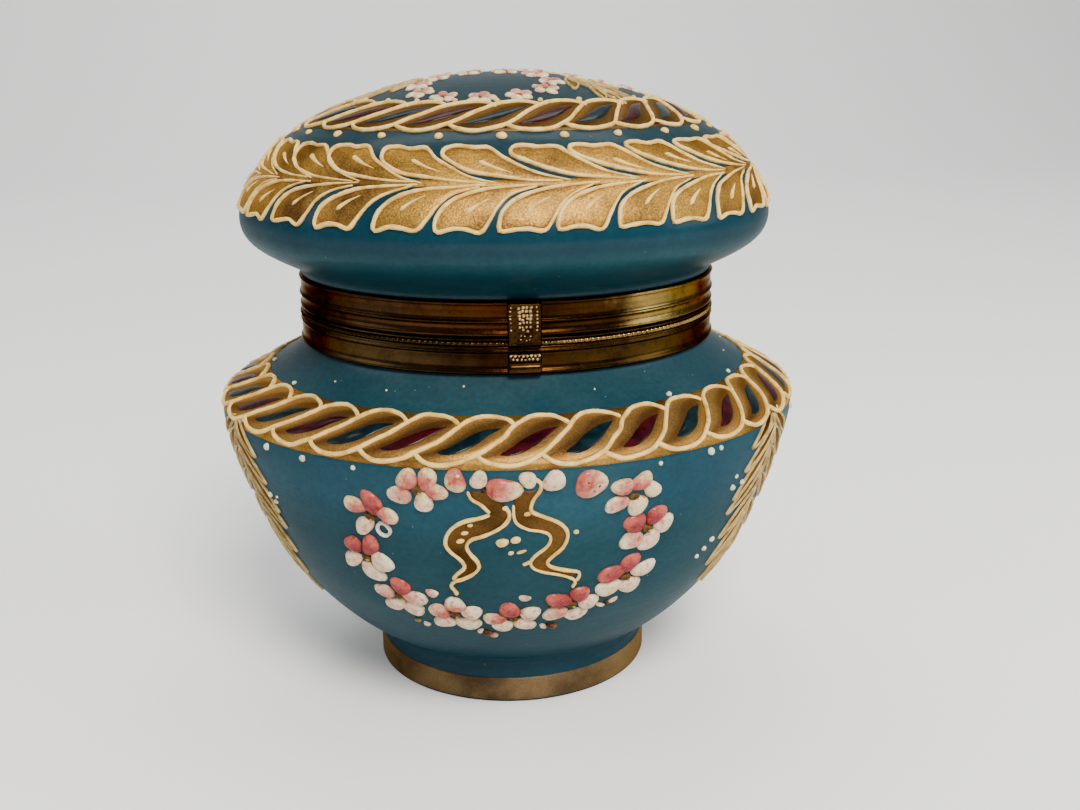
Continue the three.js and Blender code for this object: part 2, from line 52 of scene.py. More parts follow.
CAMERA_LEAN = -0.60
camera_data = bpy.data.cameras.new("camera")
camera_data.lens = LENS
camera_data.sensor_width = 36.0
camera_data.clip_start = 0.01
camera = bpy.data.objects.new("camera", camera_data)
camera.matrix_world = (
    Matrix.Translation(CAMERA_PLACE)
    @ Matrix.Rotation(math.radians(CAMERA_HEADING), 4, "Z")
    @ Matrix.Rotation(math.radians(CAMERA_PITCH), 4, "X")
    @ Matrix.Rotation(math.radians(CAMERA_LEAN), 4, "Z")
)
bpy.context.scene.collection.objects.link(camera)
bpy.context.scene.camera = camera


def new_material(name):
    """A material with one Principled shader. Returns it with its nodes, links and shader."""
    material = bpy.data.materials.new(name)
    material.use_nodes = True
    nodes = material.node_tree.nodes
    shader = nodes["Principled BSDF"]
    return material, nodes, material.node_tree.links, shader


def set_inputs(node, **values):
    """Constants put straight on a node's sockets. Each _ in a name stands for a space."""
    for name, value in values.items():
        node.inputs[name.replace("_", " ")].default_value = value


SWEEP_WIDTH = 3.0
SWEEP_FRONT, SWEEP_BACK = -2.5, 1.3
SWEEP_BEND, SWEEP_TOP, BEND_STEPS = 0.9, 3.2, 24
sweep_line = [(SWEEP_FRONT, 0.0), (SWEEP_BACK, 0.0)]
for step in range(1, BEND_STEPS + 1):
    bend = math.radians(90 * step / BEND_STEPS)
    sweep_line.append((SWEEP_BACK + SWEEP_BEND * math.sin(bend), SWEEP_BEND * (1 - math.cos(bend))))
sweep_line.append((SWEEP_BACK + SWEEP_BEND, SWEEP_TOP))
sweep_mesh = bpy.data.meshes.new("paper_sweep")
sweep_mesh.from_pydata(
    [(side * SWEEP_WIDTH, y, z) for y, z in sweep_line for side in (-1, 1)],
    [], [(2 * k, 2 * k + 1, 2 * k + 3, 2 * k + 2) for k in range(len(sweep_line) - 1)])
sweep_mesh.shade_smooth()
paper_sweep = bpy.data.objects.new("paper_sweep", sweep_mesh)
bpy.context.scene.collection.objects.link(paper_sweep)
sweep_paper, _, _, sweep_shader = new_material("pale_paper")
set_inputs(sweep_shader, Base_Color=(0.92, 0.92, 0.91, 1), Roughness=0.8)
sweep_mesh.materials.append(sweep_paper)

world = bpy.data.worlds.new("studio")
world.use_nodes = True
set_inputs(world.node_tree.nodes["Background"], Color=(0.95, 0.97, 1.0, 1), Strength=0.34)
bpy.context.scene.world = world


def soft_light(name, place, aim, size, power, colour=(1, 1, 1)):
    """A square soft box at a place, aimed at a point."""
    data = bpy.data.lights.new(name, "AREA")
    data.shape = "RECTANGLE"
    data.size, data.size_y = size
    data.energy = power
    data.color = colour
    lamp = bpy.data.objects.new(name, data)
    lamp.location = place
    direction = Vector(aim) - Vector(place)
    lamp.rotation_euler = direction.to_track_quat("-Z", "Y").to_euler()
    bpy.context.scene.collection.objects.link(lamp)


soft_light("key_light", (0.13, -0.66, 0.72), (0, 0, 0.08), (0.34, 0.34), 15.0, (1.0, 0.955, 0.88))
soft_light("fill_light", (0.75, -0.15, 0.45), (0, 0, 0.06), (0.4, 0.6), 3.2, (0.93, 0.97, 1.0))
soft_light("side_light", (-0.75, 0.05, 0.55), (0, 0, 0.08), (0.5, 0.5), 1.8, (0.93, 0.97, 1.0))
soft_light("sweep_light", (0.0, 0.9, 1.6), (0, 1.6, 0.0), (1.6, 0.8), 26.0)

# The bowl, blown in teal opaline glass with an acid satin finish. One piece with its foot: the wall
# is about 4 mm thick, the rim stands up inside the brass collar, and the foot is hollow below.
BOWL_OUTLINE = [
    [(46.2, 79.4), (48, 76.6), (54.5, 73.4), (60, 70.6)],
    [(60, 70.6), (63.2, 68.9), (65.4, 68.2), (65.4, 64.8)],
    [(65.4, 64.8), (65.4, 60), (59.1, 41.6), (54.8, 33.7)],
    [(54.8, 33.7), (50.5, 25.8), (40, 13.8), (33.2, 11.3)],
    [(33.2, 11.3), (31.4, 10.4), (31.4, 7), (32.2, 4.2)],
    [(32.2, 4.2), (32.2, 3), (32.2, 1.5), (32.2, 0)],
]
GLASS_WALL = 3.8
TURNS = 256


def outline_points(spans, steps=40):
    """Points along a chain of four-point curves, (radius, height) in mm."""
    places = []
    for p0, p1, p2, p3 in spans:
        t = np.linspace(0, 1, steps + 1)[:, None]
        curve = (1 - t) ** 3 * np.array(p0) + 3 * (1 - t) ** 2 * t * np.array(p1)
        curve = curve + 3 * (1 - t) * t * t * np.array(p2) + t ** 3 * np.array(p3)
        places.append(curve if not places else curve[1:])
    return np.vstack(places)


def chart_of(spans):
    """A function that takes azimuth, along and lift off the glass to a place in mm."""
    points = outline_points(spans)
    lengths = np.concatenate([[0], np.cumsum(np.hypot(*np.diff(points, axis=0).T))])
    even = np.linspace(0, lengths[-1], 700)
    radius = np.interp(even, lengths, points[:, 0])
    height = np.interp(even, lengths, points[:, 1])
    slope_r = np.convolve(np.pad(np.gradient(radius, even), 4, "edge"), np.ones(9) / 9, "valid")
    slope_z = np.convolve(np.pad(np.gradient(height, even), 4, "edge"), np.ones(9) / 9, "valid")

    def chart(azimuth, along, lift=0.0):
        azimuth, along, lift = np.broadcast_arrays(
            np.asarray(azimuth, float), np.asarray(along, float), np.asarray(lift, float))
        r = np.interp(along, even, radius) - np.interp(along, even, slope_z) * lift
        z = np.interp(along, even, height) + np.interp(along, even, slope_r) * lift
        a = np.radians(azimuth)
        return np.stack([r * np.sin(a), -r * np.cos(a), z], -1)

    chart.radius = lambda along: float(np.interp(along, even, radius))
    chart.along_at_radius = lambda r: float(np.interp(r, radius[:250], even[:250]))
    return chart


def add_piece(name, parts, materials, body, smooth=True):
    """One mesh object from parts, each (places in mm, faces[, colours]), riding on a body."""
    places, faces, colours, count = [], [], [], 0
    for part in parts:
        places.append(np.asarray(part[0], float).reshape(-1, 3))
        faces.extend([tuple(int(i) + count for i in face) for face in part[1]])
        if len(part) > 2:
            colours.append(np.asarray(part[2], float).reshape(-1, 3))
        count += len(places[-1])
    mesh = bpy.data.meshes.new(name)
    mesh.from_pydata((np.vstack(places) * 0.001).tolist(), [], faces)
    if colours:
        # Vertex colours: the colours painted on the petals, and the painted shade across the rope
        # strands.
        paint_and_shade = mesh.color_attributes.new("paint_and_shade", "FLOAT_COLOR", "POINT")
        rows = np.hstack([np.vstack(colours), np.ones((count, 1))])
        paint_and_shade.data.foreach_set("color", rows.ravel())
    mesh.validate()
    if smooth:
        mesh.shade_smooth()
    for material in materials:
        mesh.materials.append(material)
    piece = bpy.data.objects.new(name, mesh)
    bpy.context.scene.collection.objects.link(piece)
    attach(piece, body)
    return piece


def grid_faces(rows, columns, ring_rows=False, ring_columns=True, first=0, flip=False):
    """Faces between the neighbours in a grid of points that is stored row by row."""
    faces = []
    for i in range(rows if ring_rows else rows - 1):
        for k in range(columns if ring_columns else columns - 1):
            low, high = first + i * columns, first + (i + 1) % rows * columns
            n = (k + 1) % columns
            face = (low + k, low + n, high + n, high + k)
            faces.append(face[:1] + face[:0:-1] if flip else face)
    return faces


def slab_faces(rows, columns, flip=False):
    """Faces of a closed slab: a grid of points in front, the same grid behind, and four edges."""
    base = rows * columns
    faces = grid_faces(rows, columns, False, False, 0, flip)
    faces += grid_faces(rows, columns, False, False, base, not flip)
    right, top = columns - 1, (rows - 1) * columns
    edges = [(i * columns, (i + 1) * columns) for i in range(rows - 1)]
    edges += [((i + 1) * columns + right, i * columns + right) for i in range(rows - 1)]
    edges += [(k + 1, k) for k in range(right)] + [(top + k, top + k + 1) for k in range(right)]
    for a, b in edges:
        faces.append((b, a, base + a, base + b) if flip else (a, b, base + b, base + a))
    return faces


def turned(profile, turns=TURNS, closed=True):
    """A turned body from (radius, height) points. A point with radius 0 is one pole vertex."""
    places, rows = [], []
    for r, z in profile:
        if r < 1e-6:
            rows.append([len(places)] * turns)
            places.append((0, 0, z))
        else:
            rows.append(list(range(len(places), len(places) + turns)))
            for k in range(turns):
                a = 2 * math.pi * k / turns
                places.append((r * math.sin(a), -r * math.cos(a), z))
    faces = []
    count = len(rows) if closed else len(rows) - 1
    for i in range(count):
        low, high = rows[i], rows[(i + 1) % len(rows)]
        for k in range(turns):
            n = (k + 1) % turns
            face = []
            for corner in (low[k], low[n], high[n], high[k]):
                if corner not in face:
                    face.append(corner)
            if len(face) > 2:
                faces.append(tuple(reversed(face)))
    return places, faces


def offset_inwards(points, wall):
    """The inner line of a wall, from outer (radius, height) points that run from top to foot."""
    tangent = np.gradient(points, axis=0)
    tangent /= np.hypot(*tangent.T)[:, None]
    normal = np.stack([-tangent[:, 1], tangent[:, 0]], -1)
    return points - normal * wall


bowl_outer = outline_points(BOWL_OUTLINE, 24)
MOULD_RIDGES = (10.3, 7.6)
RIDGE_RISE, RIDGE_WIDTH, RIDGE_REACH, NECK_RADIUS = 0.16, 0.35, 1.2, 33.5
for ridge_height in MOULD_RIDGES:
    above = bowl_outer[:, 1] - ridge_height
    near = (bowl_outer[:, 0] < NECK_RADIUS) & (np.abs(above) < RIDGE_REACH)
    bowl_outer[near, 0] += RIDGE_RISE * np.exp(-(above[near] / RIDGE_WIDTH) ** 2)
RIM_OUTER, RIM_INNER = 45.2, 41.6
SEAM_Z = 87.0
RIM_TOP = SEAM_Z - 1.2
rim_profile = [(RIM_INNER, RIM_TOP - 0.5), (RIM_INNER + 0.5, RIM_TOP), (RIM_OUTER - 0.5, RIM_TOP),
               (RIM_OUTER, RIM_TOP - 0.5), (RIM_OUTER, 80.2), (45.6, 79.7)]
foot_profile = [(31.9, 0.0), (27.0, 0.0), (26.5, 0.5), (26.2, 5.4), (25.2, 6.3), (14.0, 6.7),
                (0, 6.8)]
inner_all = offset_inwards(bowl_outer, GLASS_WALL)
inner_wall = [tuple(p) for p in inner_all if 17.5 < p[1] < 74.5 and p[0] > 20]
inside_up = [(0, 15.5), (10, 15.6), (20, 16.1)] + inner_wall[::-1]
inside_up = [p for k, p in enumerate(inside_up) if k < 3 or p[0] > 20.5]
bowl_profile = rim_profile + [tuple(p) for p in bowl_outer[:-1]] + foot_profile
bowl_shell = turned(bowl_profile + inside_up + [(43.0, 77.6)])


def noise_node(nodes, links, scale, detail=3.0, rough=0.55, place=None):
    """Noise through the object's own coordinates. Returns its value socket."""
    where = nodes.new("ShaderNodeTexCoord")
    noise = nodes.new("ShaderNodeTexNoise")
    set_inputs(noise, Scale=scale, Detail=detail, Roughness=rough)
    if place is None:
        links.new(where.outputs["Object"], noise.inputs["Vector"])
    else:
        stretch = nodes.new("ShaderNodeMapping")
        set_inputs(stretch, Scale=place)
        links.new(where.outputs["Object"], stretch.inputs["Vector"])
        links.new(stretch.outputs["Vector"], noise.inputs["Vector"])
    return noise.outputs["Fac"]


def ramp_node(nodes, links, source, stops):
    """A colour ramp from (place, colour) stops. Returns its colour socket."""
    ramp = nodes.new("ShaderNodeValToRGB")
    ramp.color_ramp.elements.remove(ramp.color_ramp.elements[1])
    ramp.color_ramp.elements[0].position = stops[0][0]
    ramp.color_ramp.elements[0].color = (*stops[0][1], 1)
    for place, colour in stops[1:]:
        stop = ramp.color_ramp.elements.new(place)
        stop.color = (*colour, 1)
    links.new(source, ramp.inputs["Fac"])
    return ramp.outputs["Color"]


def blend_node(nodes, links, factor, first, second, kind="MIX"):
    """Two colours mixed by a factor. Each may be a socket or a plain colour."""
    mix = nodes.new("ShaderNodeMix")
    mix.data_type = "RGBA"
    mix.blend_type = kind
    if isinstance(factor, (int, float)):
        mix.inputs[0].default_value = factor
    else:
        links.new(factor, mix.inputs[0])
    for index, value in ((6, first), (7, second)):
        if isinstance(value, tuple):
            mix.inputs[index].default_value = (*value, 1)
        else:
            links.new(value, mix.inputs[index])
    return mix.outputs[2]


def bump_node(nodes, links, source, shader, strength, distance):
    """A bump from a value, on the shader's normal."""
    bump = nodes.new("ShaderNodeBump")
    set_inputs(bump, Strength=strength, Distance=distance)
    links.new(source, bump.inputs["Height"])
    links.new(bump.outputs["Normal"], shader.inputs["Normal"])


def range_node(nodes, links, source, spread=(0.0, 1.0), onto=(0.0, 1.0)):
    """A value moved from one range onto another. Returns its socket."""
    change = nodes.new("ShaderNodeMapRange")
    set_inputs(change, From_Min=spread[0], From_Max=spread[1], To_Min=onto[0], To_Max=onto[1])
    links.new(source, change.inputs["Value"])
    return change.outputs["Result"]


def own_axis(nodes, links, axis):
    """The place along one axis of the object itself, in metres. Returns its socket."""
    split = nodes.new("ShaderNodeSeparateXYZ")
    links.new(nodes.new("ShaderNodeTexCoord").outputs["Object"], split.inputs["Vector"])
    return split.outputs[axis]


def satin_glass(name):
    """Teal opaline with an acid satin face: clouded colour, painted light in bands, soft gloss,
    pale specks.
    """
    material, nodes, links, shader = new_material(name)
    cloud = noise_node(nodes, links, 28.0, 4.0, 0.6)
    colour = ramp_node(nodes, links, cloud,
                       [(0.30, (0.0030, 0.026, 0.038)), (0.52, (0.0048, 0.034, 0.046)),
                        (0.72, (0.0085, 0.043, 0.055))])
    # Tone in bands by height. The narrow pale band from 0.712 to 0.750, under the lid's bulge, is a
    # painted highlight. The greyer band low on the bowl is a painted reflection of the pale table.
    # The other stops make the glass greyer or bluer by height.
    level = range_node(nodes, links, own_axis(nodes, links, "Z"), (0.0, 0.140))
    height_tone_and_sheen = ramp_node(nodes, links, level, [
        (0.03, (0.8, 0.90, 1.05)), (0.10, (0.9, 0.90, 1.00)), (0.20, (2.2, 1.25, 1.20)),
        (0.34, (1.1, 1.10, 1.10)), (0.42, (1.6, 1.45, 1.60)), (0.50, (2.0, 1.30, 1.30)),
        (0.58, (2.6, 1.05, 0.98)), (0.712, (1.0, 0.88, 0.88)), (0.733, (2.5, 1.65, 1.50)),
        (0.750, (1.1, 0.90, 0.95)), (0.78, (1.2, 0.95, 1.08)), (0.92, (1.9, 0.80, 0.74))])
    colour = blend_node(nodes, links, 1.0, colour, height_tone_and_sheen, "MULTIPLY")
    grain = noise_node(nodes, links, 900.0, 2.0, 0.6)
    mottle = ramp_node(nodes, links, grain, [(0.35, (0.80, 0.82, 0.84)), (0.65, (1.0, 1.0, 1.0))])
    colour = blend_node(nodes, links, 1.0, colour, mottle, "MULTIPLY")
    specks = nodes.new("ShaderNodeTexVoronoi")
    set_inputs(specks, Scale=260.0, Randomness=1.0)
    where = nodes.new("ShaderNodeTexCoord")
    links.new(where.outputs["Object"], specks.inputs["Vector"])
    dot = ramp_node(nodes, links, specks.outputs["Distance"],
                    [(0.022, (0.6, 0.6, 0.6)), (0.040, (0.0, 0.0, 0.0))])
    colour = blend_node(nodes, links, dot, colour, (0.20, 0.27, 0.29))
    links.new(colour, shader.inputs["Base Color"])
    gloss = noise_node(nodes, links, 60.0, 3.0, 0.6)
    links.new(range_node(nodes, links, gloss, onto=(0.34, 0.48)), shader.inputs["Roughness"])
    set_inputs(shader, IOR=1.07, Coat_Weight=0.034, Coat_IOR=2.8, Coat_Roughness=0.17)
    combed = noise_node(nodes, links, 60.0, 3.0, 0.6, (0.35, 0.35, 26.0))
    bump_node(nodes, links, combed, shader, 0.12, 0.0005)
    return material


opaline = satin_glass("satin_opaline")
glass_bowl = add_piece("bowl_glass", [bowl_shell], [opaline], "box")
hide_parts("glass_bowl")

# Rope band round the bowl's shoulder: a gilded ground with a soft swell for each strand, long dark
# red and dark blue insets by turns, and trailed lines of cream enamel that cross like a rope.
on_bowl = chart_of(BOWL_OUTLINE)


def through(points, closed=False, steps=8):
    """A smooth line through given (azimuth, along) points."""
    p = np.array(points, float)
    if closed:
        p = np.vstack([p[-1], p, p[0], p[1]])
    else:
        p = np.vstack([2 * p[0] - p[1], p, 2 * p[-1] - p[-2]])
    t = np.linspace(0, 1, steps, endpoint=False)[:, None]
    line = []
    for a, b, c, d in zip(p[:-3], p[1:-2], p[2:-1], p[3:]):
        line.append(0.5 * (2 * b + (c - a) * t + (2 * a - 5 * b + 4 * c - d) * t ** 2
                           + (3 * b - a - 3 * c + d) * t ** 3))
    return np.vstack(line + [p[-2][None]])


def evenly(chart, points, step, closed=False, lift=0.0):
    """Azimuth, along and run in mm at even steps of a smooth line."""
    line = through(points, closed)
    places = chart(line[:, 0], line[:, 1], lift)
    run = np.concatenate([[0], np.cumsum(np.linalg.norm(np.diff(places, axis=0), axis=1))])
    count = max(3, int(round(run[-1] / step)))
    return line, run, np.linspace(0, run[-1], count + 1)


LINE_STEP = 0.7


def enamel_line(chart, points, width, height, lift=0.0, shape="round", closed=False, seed=0,
                swell=0.10, taper=None):
    """A trailed line of enamel: a low round strand that follows the glass, with round tips."""
    line, run, stops = evenly(chart, points, LINE_STEP, closed, lift)
    total = run[-1]
    if shape == "round" and not closed:
        tip = width * 0.5
        ends = np.array([0.0, 0.06, 0.25, 0.6]) * tip
        inner = stops[(stops > tip) & (stops < total - tip)]
        stops = np.concatenate([ends, inner, total - ends[::-1]])
    azimuth = np.interp(stops, run, line[:, 0])
    along = np.interp(stops, run, line[:, 1])
    chance = random.Random(seed * 7 + 3)
    phase = [chance.uniform(0, 6.28) for _ in range(3)]
    waves = zip((0.9, 2.3, 4.1), phase, (0.5, 0.35, 0.25))
    waver = 1 + swell * sum(np.sin(stops * speed + start) * share for speed, start, share in waves)
    if shape == "lens":
        size = np.sin(np.pi * np.clip(stops / total, 0.015, 0.985)) ** 0.85
    elif shape == "drop":
        head = 1 - (1 - np.minimum(stops / (width * 0.5), 1)) ** 2
        size = np.clip(1 - stops / total, 0.04, 1) ** 0.8 * np.sqrt(np.clip(head, 0.03, 1))
    elif closed:
        size = np.ones(len(stops))
    else:
        near = np.minimum(stops, total - stops)
        size = np.sqrt(np.clip(1 - (1 - np.minimum(near / (width * 0.5), 1)) ** 2, 0.01, 1))
    size = size * (1.0 if shape == "lens" else waver)
    if taper:
        size = size * np.interp(stops / total, [0, 0.34, 0.66, 1], [taper[0], 1, 1, taper[1]])
    if closed:
        stops, azimuth, along, size = stops[:-1], azimuth[:-1], along[:-1], size[:-1]
    foot = chart(azimuth, along, lift)
    up = chart(azimuth, along, lift + 1.0) - foot
    up /= np.linalg.norm(up, axis=1)[:, None]
    if closed:
        ahead = np.roll(foot, -1, 0) - np.roll(foot, 1, 0)
    else:
        ahead = np.gradient(foot, axis=0)
    side = np.cross(ahead, up)
    side /= np.linalg.norm(side, axis=1)[:, None]
    half_section = [(1.0, -0.12), (0.97, 0.28), (0.72, 0.70), (0.27, 0.97)]
    rings = []
    for x, y in [(-x, y) for x, y in half_section] + half_section[::-1]:
        rise = (size * height * y) if y > 0 else np.full(len(size), y)
        rings.append(foot + side * (size * width * 0.5 * x)[:, None] + up * rise[:, None])
    places = np.stack(rings, 1)
    n, m = places.shape[:2]
    faces = grid_faces(n, m, closed)
    if not closed:
        faces.append(tuple(range(m))[::-1])
        faces.append(tuple((n - 1) * m + k for k in range(m)))
    return places.reshape(-1, 3), faces


def enamel_ribbon(chart, left, right, swell, lift=0.10, across=5, count=28, tints=None):
    """A patch of enamel between two lines, raised in a soft swell across its width."""
    sides = []
    for points in (left, right):
        line, run, _ = evenly(chart, points, 1.0)
        stops = np.linspace(0, run[-1], count)
        sides.append(np.stack([np.interp(stops, run, line[:, i]) for i in (0, 1)], -1))
    share = np.linspace(0, 1, across)
    grid = sides[0][:, None] * (1 - share)[None, :, None] + sides[1][:, None] * share[None, :, None]
    edge = np.sin(np.pi * np.linspace(0, 1, count)) ** 0.35
    rise = lift + swell * np.sin(np.pi * share)[None, :] ** 0.8 * edge[:, None]
    top = chart(grid[..., 0], grid[..., 1], rise)
    under = chart(grid[..., 0], grid[..., 1], -0.10)
    faces = slab_faces(count, across, flip=True)
    part = (np.vstack([top.reshape(-1, 3), under.reshape(-1, 3)]), faces)
    if not tints:
        return part
    keys = np.linspace(0, 1, len(tints))
    row = np.stack([np.interp(share, keys, [tint[i] for tint in tints]) for i in range(3)], -1)
    return part + (np.tile(row, (2 * count, 1)),)


def enamel_band(chart, start, end, lift, rows=8, swell=0.0):
    """A closed ring of enamel or gilding round the glass, from one along to another."""
    along = np.linspace(start, end, rows)
    rise = lift + swell * np.sin(np.pi * np.linspace(0, 1, rows))
    azimuth = np.arange(TURNS) * 360.0 / TURNS
    top = chart(azimuth[None, :], along[:, None], rise[:, None])
    under = chart(azimuth[None, :], along[::-1, None], -0.10)
    grid = np.vstack([top, under])
    return grid.reshape(-1, 3), grid_faces(2 * rows, TURNS, True, flip=True)


def enamel_drop(chart, azimuth, along, half, turn=0.0, height=0.8, colours=None, seed=0, around=16,
                uneven=1.0):
    """A blob of enamel, (half length, half width) in mm, turned from the azimuth direction."""
    chance = random.Random(seed * 13 + 5)
    p1, p2 = chance.uniform(0, 6.28), chance.uniform(0, 6.28)
    shares = np.array([0.0, 0.32, 0.60, 0.82, 0.96, 1.0])
    rises = np.array([1.0, 0.965, 0.85, 0.62, 0.26, None], dtype=object)
    angle = np.arange(around) * 2 * math.pi / around
    wobble = 1 + uneven * (0.06 * np.sin(2 * angle + p1) + 0.045 * np.sin(3 * angle + p2))
    x, y = np.cos(angle) * half[0] * wobble, np.sin(angle) * half[1] * wobble
    t = math.radians(turn)
    x, y = x * math.cos(t) - y * math.sin(t), x * math.sin(t) + y * math.cos(t)
    per_mm = 180.0 / (math.pi * max(chart.radius(along), 2.0))
    places = [chart(azimuth, along, height)[None]]
    paints = [np.array(colours[0] if colours else (1, 1, 1))[None]]
    for share, rise in zip(shares[1:], rises[1:]):
        level = -0.10 if rise is None else height * rise
        places.append(chart(azimuth + x * share * per_mm, along + y * share, level))
        if colours:
            blend = min(1.0, max(0.0, (share - 0.30) / 0.55))
            blend = blend * blend * (3 - 2 * blend)
            tint = np.array(colours[0]) * (1 - blend) + np.array(colours[1]) * blend
            paints.append(np.repeat(tint[None], around, 0))
    faces = []
    for k in range(around):
        n = (k + 1) % around
        faces.append((0, 1 + n, 1 + k))
        for ring in range(4):
            a, b = 1 + ring * around, 1 + (ring + 1) * around
            faces.append((a + k, a + n, b + n, b + k))
    faces.append(tuple(1 + 4 * around + k for k in range(around)))
    part = (np.vstack(places), faces)
    return part + (np.vstack(paints),) if colours else part


def shifted(points, azimuth, jitter=0.0, chance=None):
    """The same listed points, moved round the glass and a little unsteady."""
    out = []
    for a, s in points:
        wander = [chance.uniform(-jitter, jitter) if chance else 0 for _ in range(2)]
        out.append((a + azimuth + wander[0], s + wander[1]))
    return out


STRANDS = 34
STRAND_PITCH = 360.0 / STRANDS
STRAND_LINE = [(-15.2, 20.9), (-13.6, 22.2), (-11.4, 22.9), (-8.6, 22.8), (-6.0, 21.9),
               (-3.8, 20.4), (-1.8, 18.4), (0, 16.3), (1.6, 14.1), (3.1, 12.3), (5.0, 11.0),
               (7.4, 10.6), (9.6, 11.0), (11.3, 12.0), (12.5, 13.2)]
STRAND_INSET = [(-6.4, 20.9), (-3.6, 20.0), (-0.6, 17.8), (2.0, 15.5), (5.0, 13.9)]
BAND_TOP, BAND_BOTTOM = 10.3, 23.7
# Colours across each strand's gilding, edge to edge: pale at the edges, dark brown in the middle
# round the inset. This gradient is painted shade that models each strand's swell.
STRAND_SHADE_TINTS = [(0.46, 0.28, 0.095), (0.34, 0.20, 0.066), (0.095, 0.042, 0.014),
                (0.090, 0.038, 0.012), (0.27, 0.145, 0.040), (0.42, 0.24, 0.068)]
strand_lines, strand_grounds, red_insets, blue_insets, bowl_dots = [], [], [], [], []
chance = random.Random(11)
strand_starts = [-5.0 + STRAND_PITCH * k + chance.uniform(-0.45, 0.45) for k in range(STRANDS)]
strand_shapes = [shifted(STRAND_LINE, start, 0.16, chance) for start in strand_starts]
for k in range(STRANDS):
    shape = strand_shapes[k]
    before = strand_shapes[k - 1] if k else [(a - 360, s) for a, s in strand_shapes[-1]]
    strand_lines.append(enamel_line(on_bowl, shape, 0.92, 0.62, lift=0.16, seed=k))
    strand_grounds.append(enamel_ribbon(on_bowl, before[4:], shape[:11], 0.34, 0.12, 9, 26,
                                        STRAND_SHADE_TINTS))
    middle = strand_starts[k] - STRAND_PITCH / 2
    inset = shifted(STRAND_INSET, middle, 0.12, chance)
    part = enamel_line(on_bowl, inset, chance.uniform(2.6, 3.3), 0.26, lift=0.36, shape="lens",
                       seed=k)
    (red_insets if k % 2 == 1 else blue_insets).append(part)
band_ground = [enamel_band(on_bowl, BAND_TOP, BAND_BOTTOM, 0.10, 10)]
BAND_DOTS = [(-52, 24.9, 0.75), (-42, 25.0, 0.7), (-31, 24.9, 0.5), (22, 25.0, 0.45),
             (33, 24.9, 0.8), (35.6, 24.8, 0.5), (-61.5, 9.1, 0.55), (-49, 5.3, 0.22),
             (-33, 5.1, 0.25), (-14.5, 2.6, 0.25), (16, 4.6, 0.22), (33, 9.2, 0.65),
             (57.5, 22.0, 0.5)]


def gilding(name, dark, bright, depth=0.5, strand_shade=False):
    """Fired gilding over a rough ground: granular, rubbed, and browner in patches. With
    strand_shade it also takes the painted shade across each rope strand.
    """
    material, nodes, links, shader = new_material(name)
    patch = noise_node(nodes, links, 55.0, 4.0, 0.6)
    base = ramp_node(nodes, links, patch, [(0.36, dark), (0.60, bright)])
    if strand_shade:
        paint_and_shade = nodes.new("ShaderNodeAttribute")
        paint_and_shade.attribute_name = "paint_and_shade"
        base = blend_node(nodes, links, 0.8, base, paint_and_shade.outputs["Color"])
    grain = noise_node(nodes, links, 2600.0, 3.0, 0.7)
    grit = ramp_node(nodes, links, grain, [
        (0.34, (0.36, 0.29, 0.22)), (0.50, (0.95, 0.92, 0.85)), (0.66, (1.9, 1.85, 1.5))])
    colour = blend_node(nodes, links, depth, base, grit, "MULTIPLY")
    links.new(colour, shader.inputs["Base Color"])
    set_inputs(shader, Metallic=0.85, Roughness=0.42, IOR=1.1, Specular_Tint=(0.80, 0.58, 0.34, 1))
    bump_node(nodes, links, grain, shader, 0.4, 0.0003)
    return material


def enamel(name, colour, stain, rough=0.28):
    """Glossy opaque enamel of one colour, with faint stains."""
    material, nodes, links, shader = new_material(name)
    patch = noise_node(nodes, links, 420.0, 3.0, 0.6)
    tint = ramp_node(nodes, links, patch, [(0.36, stain), (0.56, colour)])
    links.new(tint, shader.inputs["Base Color"])
    set_inputs(shader, Roughness=rough, IOR=1.10, Coat_Weight=0.05, Coat_IOR=2.4,
               Coat_Roughness=0.12)
    bump_node(nodes, links, noise_node(nodes, links, 900.0, 2.0, 0.5), shader, 0.18, 0.0003)
    return material


band_gold = gilding("band_gilding", (0.12, 0.058, 0.016), (0.40, 0.22, 0.048))
strand_gold = gilding("strand_gilding", (0.13, 0.058, 0.012), (0.36, 0.19, 0.045), 0.45, True)
cream = enamel("cream_enamel", (0.76, 0.53, 0.175), (0.56, 0.33, 0.072))
white = enamel("white_enamel", (0.60, 0.60, 0.44), (0.44, 0.42, 0.26))
dark_red = enamel("dark_red_enamel", (0.013, 0.0008, 0.0026), (0.040, 0.0025, 0.0040))
dark_blue = enamel("dark_blue_enamel", (0.0014, 0.0062, 0.0090), (0.0050, 0.0150, 0.0180))
add_piece("shoulder_band_gilding", band_ground, [band_gold], "box")
add_piece("shoulder_strand_gilding", strand_grounds, [strand_gold], "box")
add_piece("shoulder_rope_lines", strand_lines, [cream], "box")
add_piece("shoulder_red_insets", red_insets, [dark_red], "box")
add_piece("shoulder_blue_insets", blue_insets, [dark_blue], "box")
REPEATS = (0, 120, 240)
for turn in REPEATS:
    for n, (a, s, half) in enumerate(BAND_DOTS):
        bowl_dots.append(enamel_drop(on_bowl, a + turn, s, (half, half), 0, half * 0.9, seed=n))

# Wreath of small five petalled flowers on the front of the bowl, each petal a thick blob of enamel
# that is pink or white, and two plainer wreaths towards the back.
PINK, ROSE = (0.36, 0.085, 0.066), (0.20, 0.025, 0.030)
PETAL_WHITE, CREAM_WHITE = (0.60, 0.53, 0.37), (0.58, 0.46, 0.26)
OLIVE, BROWN, BLUSH = (0.12, 0.095, 0.012), (0.022, 0.008, 0.003), (0.44, 0.20, 0.135)
